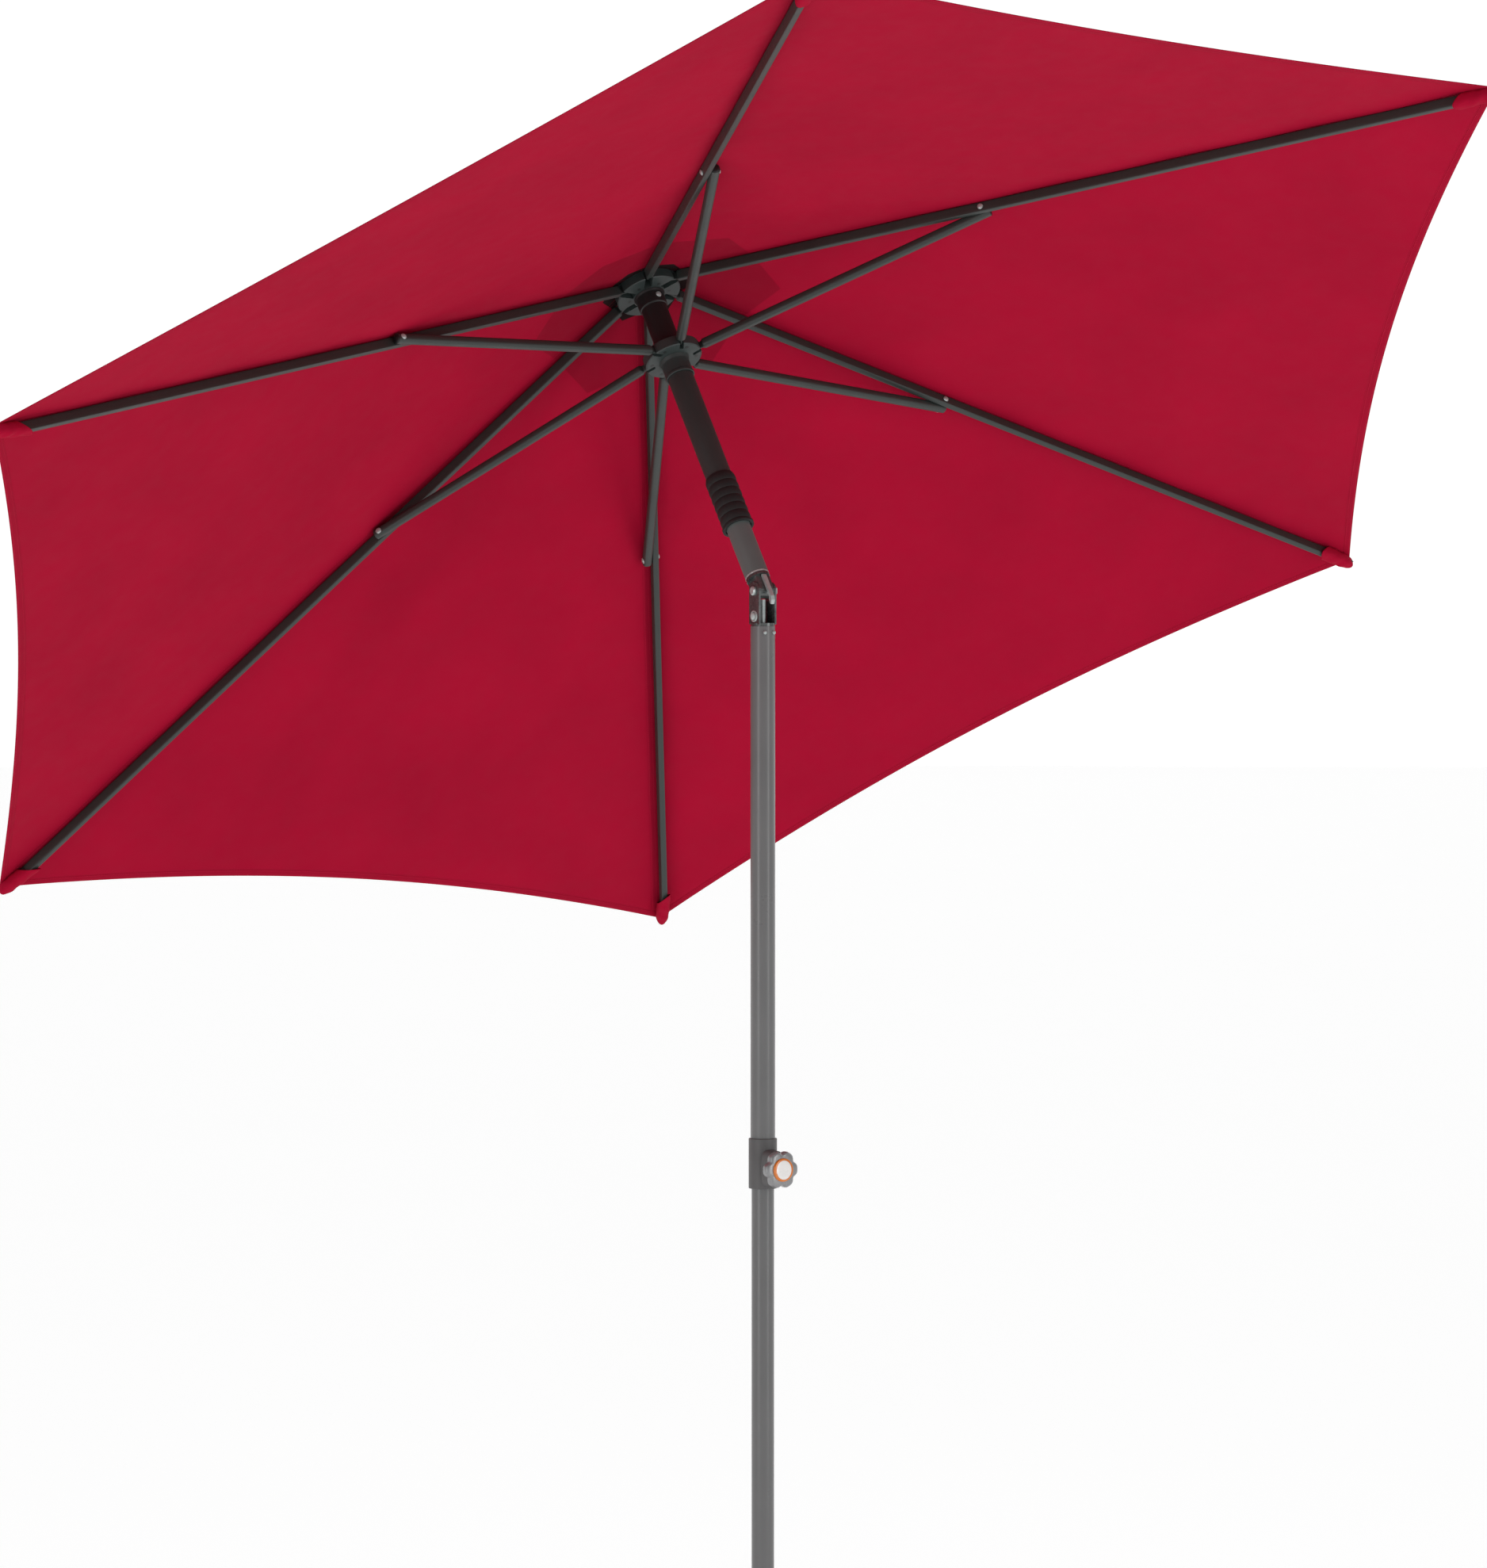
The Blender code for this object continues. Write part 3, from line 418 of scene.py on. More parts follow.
def powder_coat(name, tone, low, high, grain):
    """Baked powder paint: faint mottling, orange peel and long rub marks."""
    f = Finish(name, tone, (low + high) / 2)
    f.shader.inputs["Specular IOR Level"].default_value = 0.45
    f.tint(f.remap(f.noise(9.0, 4.0), 0.3, 0.7, 0.0, 1.0), 0.93, 1.07)
    f.rough(f.noise(24.0, 5.0, 0.6), low, high)
    f.bump(f.noise(grain, 2.0), 0.10, 0.0004)
    f.bump(f.remap(f.noise(60.0, 2.0, 0.4, (1.0, 1.0, 0.02)), 0.62, 0.72, 0.0, 1.0), 0.05, 0.0002)
    return f.material


def pole_paint():
    return finish("pole_paint", lambda name: powder_coat(name, settings()[1].grey, 0.27, 0.34, 900.0))


def mast_paint():
    return finish("mast_paint", lambda name: powder_coat(name, settings()[1].mast, 0.40, 0.50, 900.0))


def rib_paint():
    return finish("rib_paint", lambda name: powder_coat(name, settings()[1].dark, 0.40, 0.52, 1400.0))


def moulded(name, tone, low, high, grain=1800.0, strength=0.18):
    """Moulded plastic: fine spark-eroded grain, slightly cloudy sheen."""
    f = Finish(name, tone, (low + high) / 2)
    f.tint(f.noise(30.0, 3.0), 0.90, 1.10)
    f.rough(f.noise(45.0, 4.0), low, high)
    f.bump(f.noise(grain, 2.0), strength, 0.0003)
    return f.material


def hub_plastic():
    return finish("hub_plastic", lambda name: moulded(name, settings()[1].hub, 0.46, 0.58))


def black_plastic():
    return finish("black_plastic", lambda name: moulded(name, settings()[1].black, 0.42, 0.55))


def collar_plastic():
    return finish("collar_plastic",
                  lambda name: moulded(name, settings()[1].collar, 0.44, 0.56, 1500.0, 0.22))


def button_plastic():
    return finish("button_plastic", lambda name: moulded(name, settings()[1].metal, 0.38, 0.50))


def grip_rubber():
    return finish("grip_rubber", lambda name: moulded(name, settings()[1].black, 0.62, 0.78, 1000.0, 0.30))


def plated_steel():
    """Bright zinc plate: cloudy tone and roughness, and a faintly uneven face."""
    def make(name):
        f = Finish(name, settings()[1].metal, 0.28, 0.35)
        f.tint(f.remap(f.noise(55.0, 5.0, 0.6), 0.35, 0.7, 0.0, 1.0), 0.80, 1.06)
        f.rough(f.noise(80.0, 5.0), 0.24, 0.38)
        f.bump(f.noise(120.0, 3.0), 0.06, 0.0004)
        return f.material
    return finish("plated_steel", make)


def fork_steel():
    """Dark plate of the fork and tongue, with cloudy patches."""
    def make(name):
        f = Finish(name, settings()[1].fork, 0.24, 0.55)
        f.tint(f.remap(f.noise(48.0, 5.0, 0.6), 0.35, 0.7, 0.0, 1.0), 0.62, 1.18)
        f.rough(f.noise(80.0, 5.0), 0.20, 0.34)
        f.bump(f.noise(120.0, 3.0), 0.06, 0.0004)
        return f.material
    return finish("fork_steel", make)


def silver_lacquer():
    """Metallic lacquer over plastic: fine flakes under a clear coat."""
    def make(name):
        f = Finish(name, settings()[1].silver, 0.3, 0.30)
        f.shader.inputs["Coat Weight"].default_value = 0.25
        f.shader.inputs["Coat Roughness"].default_value = 0.12
        f.tint(f.noise(2600.0, 1.0), 0.85, 1.15)
        f.rough(f.noise(60.0, 4.0), 0.24, 0.38)
        f.bump(f.noise(420.0, 2.0), 0.06, 0.0002)
        return f.material
    return finish("silver_lacquer", make)


def cap_plastic():
    """Knob cap in two plain tones: a coloured ground with a pale oval about the screw axis."""
    def make(name):
        f = Finish(name, settings()[1].cap, 0.28)
        f.shader.inputs["Coat Weight"].default_value = 0.35
        f.shader.inputs["Coat Roughness"].default_value = 0.10
        base = f.tint(f.noise(40.0, 3.0), 0.94, 1.06)
        split = f.nodes.new("ShaderNodeSeparateXYZ")
        f.links.new(f.place, split.inputs["Vector"])
        height = f.math("SUBTRACT", split.outputs["Z"], float(joint_point("clamp_knob_turn")[2]))
        wide, tall = f.math("DIVIDE", split.outputs["X"], 0.0125), f.math("DIVIDE", height, 0.0136)
        oval = f.math("SQRT", f.math("ADD", f.math("MULTIPLY", wide, wide), f.math("MULTIPLY", tall, tall)))
        f.over(base, f.remap(oval, 0.97, 1.01, 1.0, 0.0), (0.90, 0.89, 0.87))
        f.rough(f.noise(90.0, 3.0), 0.24, 0.34)
        f.bump(f.remap(oval, 0.95, 1.03, 1.0, 0.0), 0.25, 0.0003)
        return f.material
    return finish("cap_plastic", make)


def canopy_cloth():
    """Plain woven polyester: two crossed sets of threads, a doubled hem with two stitch rows, stitched rib
    seams, painted shade beside the ribs and painted shade round the crown under the second layer.

    The cloth's own map gives metres from the rib seam (U) and metres to the hem (V).
    """
    def make(name):
        cloth = settings()[0]
        f = Finish(name, cloth.red, 0.82)
        f.shader.inputs["Specular IOR Level"].default_value = 0.08
        uv = f.nodes.new("ShaderNodeUVMap")
        uv.uv_map = "Cloth"
        split = f.nodes.new("ShaderNodeSeparateXYZ")
        f.links.new(uv.outputs["UV"], split.inputs["Vector"])
        across, to_hem = f.math("ABSOLUTE", split.outputs["X"]), split.outputs["Y"]
        base = f.tint(f.remap(f.noise(5.0, 5.0, 0.6), 0.3, 0.7, 0.0, 1.0), 0.93, 1.06)
        doubled = f.remap(to_hem, cloth.hem, cloth.hem + 0.0012, 0.22, 0.0)
        base = f.over(base, doubled, tuple(c * 0.62 for c in cloth.red))
        # Painted shade: the cloth is darkened out to the reach of the second layer round the crown, standing
        # for that layer's shadow seen through the cloth.
        layer = f.nodes.new("ShaderNodeAttribute")
        layer.attribute_name = "from_crown"
        inside = f.math("MULTIPLY", f.remap(layer.outputs["Fac"], cloth.patch - 0.001, cloth.patch + 0.001,
                                            0.42, 0.0),
                        f.math("GREATER_THAN", layer.outputs["Fac"], 0.001))
        base = f.over(base, inside, tuple(c * 0.40 for c in cloth.red))
        binding = f.math("MULTIPLY", f.remap(layer.outputs["Fac"], 0.0600, 0.0608, 0.96, 0.0),
                         f.math("GREATER_THAN", layer.outputs["Fac"], 0.001))
        # Painted shade beside each rib: the cloth is darkened up to 8 mm from the rib line, fading out by 16
        # mm.
        seam = f.remap(across, 0.008, 0.016, 0.30, 0.0)
        base = f.over(base, seam, tuple(c * 0.55 for c in cloth.red))
        base = f.over(base, binding, settings()[1].black)
        thread = 0.0011
        warp = f.math("SINE", f.math("MULTIPLY", split.outputs["X"], 2 * math.pi / thread))
        weft = f.math("SINE", f.math("MULTIPLY", to_hem, 2 * math.pi / thread))
        weave = f.math("MULTIPLY", warp, weft)
        pitch = 0.0042
        hem_run = f.math("LESS_THAN", f.math("FRACT", f.math("DIVIDE", split.outputs["X"], pitch)), 0.62)
        rib_run = f.math("LESS_THAN", f.math("FRACT", f.math("DIVIDE", to_hem, pitch)), 0.62)
        rows = []
        for centre, distance, run in ((cloth.hem * 0.22, to_hem, hem_run),
                                      (cloth.hem * 0.84, to_hem, hem_run),
                                      (0.0045, across, rib_run), (0.0115, across, rib_run)):
            near = f.math("LESS_THAN", f.math("ABSOLUTE", f.math("SUBTRACT", distance, centre)), 0.0005)
            rows.append(f.math("MULTIPLY", near, run))
        stitches = rows[0]
        for row in rows[1:]:
            stitches = f.math("MAXIMUM", stitches, row)
        f.over(base, f.math("MULTIPLY", stitches, 0.55), tuple(min(1.0, c * 1.5 + 0.01) for c in cloth.red))
        f.rough(f.noise(40.0, 4.0), 0.76, 0.88)
        f.bump(weave, 0.20, 0.0002)
        f.bump(f.noise(14.0, 3.0), 0.12, 0.004)
        f.bump(doubled, 0.5, 0.0006)
        f.bump(stitches, 0.6, 0.0005)
        return f.material
    return finish("canopy_cloth", make)


def cast_slab():
    """Cast concrete: cloudy tone, pale sand speckle and small air holes."""
    def make(name):
        f = Finish(name, settings()[2].slab, 0.85)
        base = f.tint(f.remap(f.noise(7.0, 6.0, 0.65), 0.3, 0.7, 0.0, 1.0), 0.80, 1.18)
        f.over(base, f.remap(f.noise(420.0, 2.0), 0.60, 0.68, 0.0, 0.5), (0.36, 0.35, 0.34))
        f.rough(f.noise(30.0, 4.0), 0.78, 0.94)
        pores = f.nodes.new("ShaderNodeTexVoronoi")
        pores.inputs["Scale"].default_value = 55.0
        f.links.new(f.place, pores.inputs["Vector"])
        f.bump(f.remap(pores.outputs["Distance"], 0.04, 0.12, 0.0, 1.0), 0.35, 0.0015)
        f.bump(f.noise(160.0, 6.0, 0.7), 0.35, 0.0010)
        return f.material
    return finish("cast_slab", make)


# --- canopy ---------------------------------------------------------------------------------------

def hem_reach(share, cloth):
    """Share of the full radius kept by the hem: 1 at a corner, and least, by a parabola, half way to the
    next one.
    """
    middle = 1.0 - cloth.scallop / (cloth.corner * math.cos(GORE_HALF))
    return middle + (1.0 - middle) * (1.0 - share) ** 2


def cloth_height(x, y, share, u, cloth):
    """Flat cloth between two straight ribs, plus a crest that grows along the gore as 1 - (1 - share)^2
    across it.
    """
    fall = math.tan(cloth.slope)
    crest = cloth.crest * u ** 1.5 * (1.0 - (1.0 - share) ** 2)
    pucker = 0.0012 * np.sin(u * 41.0) * np.exp(-((share - 0.06) / 0.07) ** 2) * u
    return cloth.lift - fall * (x + np.abs(y) * math.tan(GORE_HALF)) + crest + pucker


SIDES = {"left": -1, "right": 1}


def half_kite(cloth, side, start, stop, rows, cols, rise=0.0):
    """Half a gore, on one side of a rib: u runs out from the crown to the hem, v across from the rib to
    mid gore.

    A point lies u of the way along the straight line from the mast axis to the hem, whose
    corner-to-corner line is drawn in by the scallop; v is its share of the way from the rib to the
    middle of the gore.
    """
    v = side * np.linspace(0.0, 1.0, cols) ** 1.25
    v = v[::side]
    share = np.abs(v)
    u = np.linspace(0.0, 1.0, rows)[:, None]
    chord_x = cloth.corner * (1.0 - share * (1.0 - math.cos(GORE_HALF) ** 2))
    chord_y = v * cloth.corner * math.sin(GORE_HALF) * math.cos(GORE_HALF)
    reach = hem_reach(share, cloth)
    near = start / cloth.corner
    far = reach if stop is None else np.full_like(reach, stop / cloth.corner)
    along = near + (far - near) * u
    x, y = chord_x * along, chord_y * along
    z = cloth_height(x, y, share, along, cloth) + rise
    points = np.stack([x, y, z], axis=-1)
    to_hem = (far - along) * np.hypot(chord_x, chord_y)
    uv = np.stack([y, to_hem], axis=-1)
    return points, uv


def shell(points, thickness):
    """Close a grid of points into a thin solid: the grid moved half the thickness each way along its
    normals.
    """
    across = np.gradient(points, axis=1)
    along = np.gradient(points, axis=0)
    normal = np.cross(along, across)
    normal /= np.linalg.norm(normal, axis=-1, keepdims=True)
    normal *= np.sign(normal[..., 2:3])
    rows, cols = points.shape[:2]
    both = np.stack([points + normal * thickness / 2, points - normal * thickness / 2])
    upper = grid_faces(rows, cols)
    lower = [face[::-1] for face in grid_faces(rows, cols, start=rows * cols)]
    index = np.arange(rows * cols).reshape(rows, cols)
    ring = np.concatenate([index[0, :-1], index[:-1, -1], index[-1, :0:-1], index[:0:-1, 0]])
    after = np.roll(ring, -1)
    rim = np.stack([ring, ring + rows * cols, after + rows * cols, after], axis=-1).tolist()
    return both, upper + lower + rim


def tape_edge(side):
    """Edge of the seam tape, just outside the rib on the left and just outside its strut on the right."""
    metal = settings()[1]
    if side < 0:
        return metal.rib_side - metal.rib_width / 2 - 0.0003
    return metal.strut_side + metal.strut_radius + 0.0006


def fold(piece):
    """Give a cloth piece a mesh of its own.
    """
    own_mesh(piece)


def sheet_object(name, points, uv, thickness, index, side, replaced, matrix):
    """Cloth grid as a thin closed object that also stores how far each point lies out from the crown."""
    solid, faces = shell(points, thickness)
    piece = add_piece(name, place(solid, matrix), faces, canopy_cloth(), f"rib_set_{index}", replaced,
                      np.concatenate([uv.reshape(-1, 2)] * 2), sharp=60.0)
    reach = np.tile(points[..., 0].ravel(), 2)
    from_crown = piece.data.attributes.new("from_crown", "FLOAT", "POINT")
    from_crown.data.foreach_set("value", reach.astype(np.float32))
    if side:
        fold(piece)
    return piece


class UMBRELLA_OT_canopy(bpy.types.Operator):
    """Canopy: two half gores and a seam tape at each rib, with a second layer round the crown"""
    bl_idname = "umbrella.canopy"
    bl_label = "Canopy"

    def execute(self, context):
        for index in RIBS:
            for label, side in SIDES.items():
                lay_cloth(index, label, side)
            lay_tape(index)
        return {"FINISHED"}


def lay_cloth(index, label, side):
    """Half gore of canopy on one side of a rib, with its share of the second layer round the crown."""
    cloth = settings()[0]
    matrix = star_frame(index)
    points, uv = half_kite(cloth, side, cloth.opening, None, 81, 31)
    name = f"canopy_cloth_{index}_{label}"
    piece = sheet_object(name, points, uv, cloth.thickness, index, side, (f"canopy_panel_{index}",), matrix)
    points, uv = half_kite(cloth, side, cloth.opening, cloth.patch, 17, 21, rise=0.0022)
    patch = sheet_object(f"crown_patch_{index}_{label}", points, uv, cloth.thickness, index, side, (),
                         matrix)


def lay_tape(index):
    """Seam tape over a rib, from just outside the rib to just outside its strut, falling with the cloth
    each way.
    """
    cloth = settings()[0]
    across = np.linspace(tape_edge(-1), tape_edge(1), 13)
    out = np.linspace(cloth.patch + 0.004, cloth.corner - 0.040, 121)[:, None]
    x, y = np.broadcast_arrays(out, across)
    z = cloth_height(x, y, 0.0, out / cloth.corner, cloth) + 0.0016
    points = np.stack([x, y, z], axis=-1)
    uv = np.stack([y + 0.05, cloth.corner - x], axis=-1)
    tape = sheet_object(f"seam_tape_{index}", points, uv, cloth.thickness, index, 0, (), star_frame(index))


class UMBRELLA_OT_hem(bpy.types.Operator):
    """Folded hem, a flat rolled tape along the edge of each half gore"""
    bl_idname = "umbrella.hem"
    bl_label = "Hem"

    def execute(self, context):
        for index in RIBS:
            for label, side in SIDES.items():
                roll_hem(index, label, side)
        return {"FINISHED"}


def roll_hem(index, label, side):
    """Hem tape: a flat closed section, (cos a, |sin a|^0.5), carried along the cloth's outer edge."""
    cloth = settings()[0]
    points, _ = half_kite(cloth, side, cloth.opening, None, 201, 46)
    edge = points[-1]
    inward = points[-4] - edge
    inward /= np.linalg.norm(inward, axis=1, keepdims=True)
    up = np.cross(inward, np.gradient(edge, axis=0))
    up /= np.linalg.norm(up, axis=1, keepdims=True)
    up *= np.sign(up[:, 2:3])
    angle = np.linspace(0.0, 2 * math.pi, 16, endpoint=False)
    half = cloth.hem / 2
    flat = np.sign(np.sin(angle)) * np.abs(np.sin(angle)) ** 0.5
    ring = (edge[:, None] + inward[:, None] * (half - 0.001 + half * np.cos(angle))[None, :, None]
            + up[:, None] * (0.0010 * flat)[None, :, None])
    run = np.concatenate([[0.0], np.cumsum(np.linalg.norm(np.diff(edge, axis=0), axis=1))])
    depth = half + half * np.cos(angle)
    uv = np.stack(np.broadcast_arrays(0.02 + run[:, None], depth[None, :]), axis=-1)
    rows, cols = ring.shape[:2]
    faces = grid_faces(rows, cols, wrap_cols=True)
    faces += [list(range(cols)), [(rows - 1) * cols + k for k in range(cols)][::-1]]
    piece = add_piece(f"canopy_hem_{index}_{label}", place(ring, star_frame(index)), faces, canopy_cloth(),
                      f"rib_set_{index}", (), uv, sharp=60.0)
    fold(piece)


def pocket_surface(cloth, metal, rows=36, steps=40):
    """Cloth pocket over a rib tip: a flattened sleeve with a slanted mouth and a round end.

    Its half width follows a quarter ellipse over the last stretch, and its section is a superellipse
    that hangs below the canopy. The mouth leans back by a share of the height of each point.
    """
    end = (cloth.corner - hub_reach("rib_fold")) / math.cos(cloth.slope) + 0.002
    t = np.linspace(0.0, 1.0, rows)
    close = np.sqrt(np.clip(1.0 - np.clip((t - 0.62) / 0.38, 0.0, 1.0) ** 2, 0.0, 1.0)) * 0.97 + 0.03
    width = (metal.rib_width + 0.011 - 0.002 * t) * close
    depth = (metal.rib_depth + 0.007 - 0.004 * t) * (0.45 + 0.55 * close)
    stations = end - cloth.pocket * (1.0 - t)
    points, faces = swept(stations, width, depth, np.full(rows, metal.rib_side * (1 - t)),
                          -0.0005 + 0.003 * t, 2.8, steps)
    body = points[:rows * steps].reshape(rows, steps, 3)
    slant = (body[..., 2] + body[..., 1] * 0.7) * 0.9 * (1.0 - t[:, None]) ** 2
    crease = 0.0008 * np.sin(t[:, None] * 17.0 + body[..., 1] * 260.0)
    body[..., 0] += slant
    body[..., 2] += crease * np.sin(math.pi * t[:, None])
    faces = [face for face in faces if rows * steps not in face]
    points = np.concatenate([body.reshape(-1, 3), points[rows * steps:]])
    uv = np.stack([points[:, 1] + 0.05, end - points[:, 0] + 0.02], axis=-1)
    return points, faces, uv


class UMBRELLA_OT_pockets(bpy.types.Operator):
    """Cloth pocket over each rib tip, at the canopy corners"""
    bl_idname = "umbrella.pockets"
    bl_label = "Corner pockets"

    def execute(self, context):
        cloth, metal, _ = settings()
        for index in RIBS:
            points, faces, uv = pocket_surface(cloth, metal)
            matrix = arm_frame("rib_fold", index, cloth.slope)
            piece = add_piece(f"corner_pocket_{index}", place(points, matrix), faces, canopy_cloth(),
                              f"rib_set_{index}", (), uv, sharp=70.0)
            wall = piece.modifiers.new("Cloth thickness", "SOLIDIFY")
            wall.thickness = cloth.thickness
            wall.offset = 1.0
        return {"FINISHED"}


# --- ribs and struts ------------------------------------------------------------------------------

def arm(length, width, depth, side, eye, start, power):
    """Tube with one end pressed flat into a hinge eye: width and depth ease from the eye to the full
    section.
    """
    lead = np.linspace(-0.0055, start, 10)
    swell = np.linspace(start, start + 0.005, 14)[1:]
    rest = np.linspace(start + 0.005, length, 60)[1:]
    stations = np.concatenate([lead, swell, rest])
    ease = np.clip((stations - start) / 0.005, 0.0, 1.0)
    ease = ease * ease * (3 - 2 * ease)
    nose = np.sqrt(np.clip(1.0 - np.clip(-stations / 0.0055, 0.0, 1.0) ** 2, 0.0, 1.0)) * 0.98 + 0.02
    w = eye + (width - eye) * ease
    d = (0.011 + (depth - 0.011) * ease) * nose
    return swept(stations, w, d, np.full(len(stations), side), np.zeros(len(stations)), power, 32)


class UMBRELLA_OT_ribs(bpy.types.Operator):
    """Ribs, each a painted tube with a pressed eye in the crown"""
    bl_idname = "umbrella.ribs"
    bl_label = "Ribs"

    def execute(self, context):
        cloth, metal, _ = settings()
        reach = hub_reach("rib_fold")
        length = (cloth.corner - reach) / math.cos(cloth.slope) - 0.050
        for index in RIBS:
            points, faces = arm(length, metal.rib_width, metal.rib_depth, metal.rib_side, metal.eye, 0.0095,
                                7.0)
            add_piece(f"rib_tube_{index}", place(points, arm_frame("rib_fold", index, cloth.slope)), faces,
                      rib_paint(), f"rib_set_{index}", (f"rib_{index}",))
        return {"FINISHED"}


def strut_line(cloth, metal):
    """Slope and length of a strut, from its hinge on the runner to its rivet on the rib."""
    reach = hub_reach("rib_fold") + metal.rivet * math.cos(cloth.slope) - metal.sink * math.sin(cloth.slope)
    fall = metal.rivet * math.sin(cloth.slope) + metal.sink * math.cos(cloth.slope)
    run = reach - hub_reach("strut_fold")
    drop = fall - (CROWN_RISE - RUNNER_RISE)
    return math.atan2(drop, run), math.hypot(run, drop)


def dome(radius, height, low):
    """Half outline of a plug or rivet head: flat back, round front."""
    angle = np.linspace(0.0, math.pi / 2, 7)
    arc = np.stack([radius * np.cos(angle), low + height * np.sin(angle)], axis=-1)
    return np.concatenate([[[0.0, low], [radius, low]], arc[1:]])


class UMBRELLA_OT_struts(bpy.types.Operator):
    """Struts with their end plugs and the rivet heads on their outer side"""
    bl_idname = "umbrella.struts"
    bl_label = "Struts"

    def execute(self, context):
        cloth, metal, _ = settings()
        slope, length = strut_line(cloth, metal)
        radius, side = metal.strut_radius, metal.strut_side
        for index in RIBS:
            matrix = arm_frame("strut_fold", index, slope)
            points, faces = arm(length + metal.overhang - 0.002, 2 * radius, 2 * radius, side, metal.eye,
                                0.0085, 2.6)
            add_piece(f"strut_tube_{index}", place(points, matrix), faces, rib_paint(),
                      f"strut_set_{index}", (f"strut_{index}",))
            end = matrix @ columns((0, 1, 0), (0, 0, 1), (1, 0, 0),
                                   (length + metal.overhang - 0.0022, side, 0))
            add_turned(f"strut_plug_{index}", dome(radius * 0.96, 0.0022, 0.0), end, black_plastic(),
                       f"strut_set_{index}", (), 40, 0)
            head = matrix @ columns((1, 0, 0), (0, 0, -1), (0, 1, 0), (length, side + radius * 0.90, 0))
            add_turned(f"strut_rivet_{index}", dome(0.0046, 0.0024, 0.0), head, plated_steel(),
                       f"strut_set_{index}", (), 32, 0)
        return {"FINISHED"}


# --- crown and runner -----------------------------------------------------------------------------

def slotted_disc(inner, outer, low, high, slot, slot_depth, turn, side, half_slot, steps=360):
    """Disc with radial slots: its lower face is raised into the slots.

    The height of the lower face is low, except where a point lies within half a slot width of a slot's
    middle line and outside the slot's inner end, where it is raised by the slot depth. The outer wall
    follows the same rule.
    """
    angle = np.linspace(0.0, 2 * math.pi, steps, endpoint=False)
    near = (angle - turn + GORE_HALF) % (2 * GORE_HALF) - GORE_HALF
    edge = 0.0015
    radii = np.concatenate([[inner, slot, slot + 0.0004], np.linspace(slot + 0.003, outer - edge, 8)])
    r = radii[:, None]
    across = np.abs(r * np.sin(near)[None, :] - side)
    inside = (across < half_slot) & (r > slot)
    z = np.where(inside, low + slot_depth, low)
    under = np.stack([r * np.cos(angle), r * np.sin(angle), z], axis=-1)
    lip = np.where(inside[-1], low + slot_depth, low + edge)
    rim_low = np.stack([outer * np.cos(angle), outer * np.sin(angle), lip], axis=-1)[None]
    rim_high = np.stack([outer * np.cos(angle), outer * np.sin(angle), np.full(steps, high - edge)],
                        axis=-1)[None]
    top_out = np.stack([(outer - edge) * np.cos(angle), (outer - edge) * np.sin(angle),
                        np.full(steps, high)], axis=-1)
    top_in = np.stack([inner * np.cos(angle), inner * np.sin(angle), np.full(steps, high)], axis=-1)
    points = np.concatenate([under, rim_low, rim_high, top_out[None], top_in[None]])
    return points, grid_faces(len(points), steps, wrap_rows=True, wrap_cols=True)


def star_turn(prefix, matrix):
    """Turn of the first arm from the X axis of the mast frame."""
    out = radial(prefix, 1)
    return math.atan2(float(np.dot(out, matrix[:3, 1])), float(np.dot(out, matrix[:3, 0])))


def arc_wall(inner, outer, start, stop, low, high, matrix, steps=48):
    """Part of a round wall: (r cos a, r sin a, z) over a range of angles, closed at its two ends."""
    angle = np.linspace(start, stop, steps)[:, None]
    r, z = np.array([inner, outer, outer, inner]), np.array([low, low, high, high])
    points = np.stack([r * np.cos(angle), r * np.sin(angle), np.broadcast_to(z, (steps, 4))], axis=-1)
    faces = grid_faces(steps, 4, wrap_cols=True) + [[0, 1, 2, 3],
                                                    [steps * 4 - 1, steps * 4 - 2, steps * 4 - 3,
                                                                steps * 4 - 4]]
    return place(points, matrix), [face[::-1] for face in faces]


def hole_shade_discs(count, circle, radius, low, matrix, turn):
    """Painted shade of small holes: thin dark discs that stand 0.2 mm out of a lower face where each hole's
    shade would be.
    """
    parts = []
    for k in range(count):
        angle = turn + 2 * math.pi * k / count
        spot = matrix @ columns((1, 0, 0), (0, 1, 0), (0, 0, 1),
                                (circle * math.cos(angle), circle * math.sin(angle), 0))
        points, faces = turned([(0, low - 0.0002), (radius, low - 0.0002), (radius, low + 0.001),
                                (0, low + 0.001)],
                               spot, 24, 0)
        parts.append((points, [face[::-1] for face in faces]))
    return merged(parts)


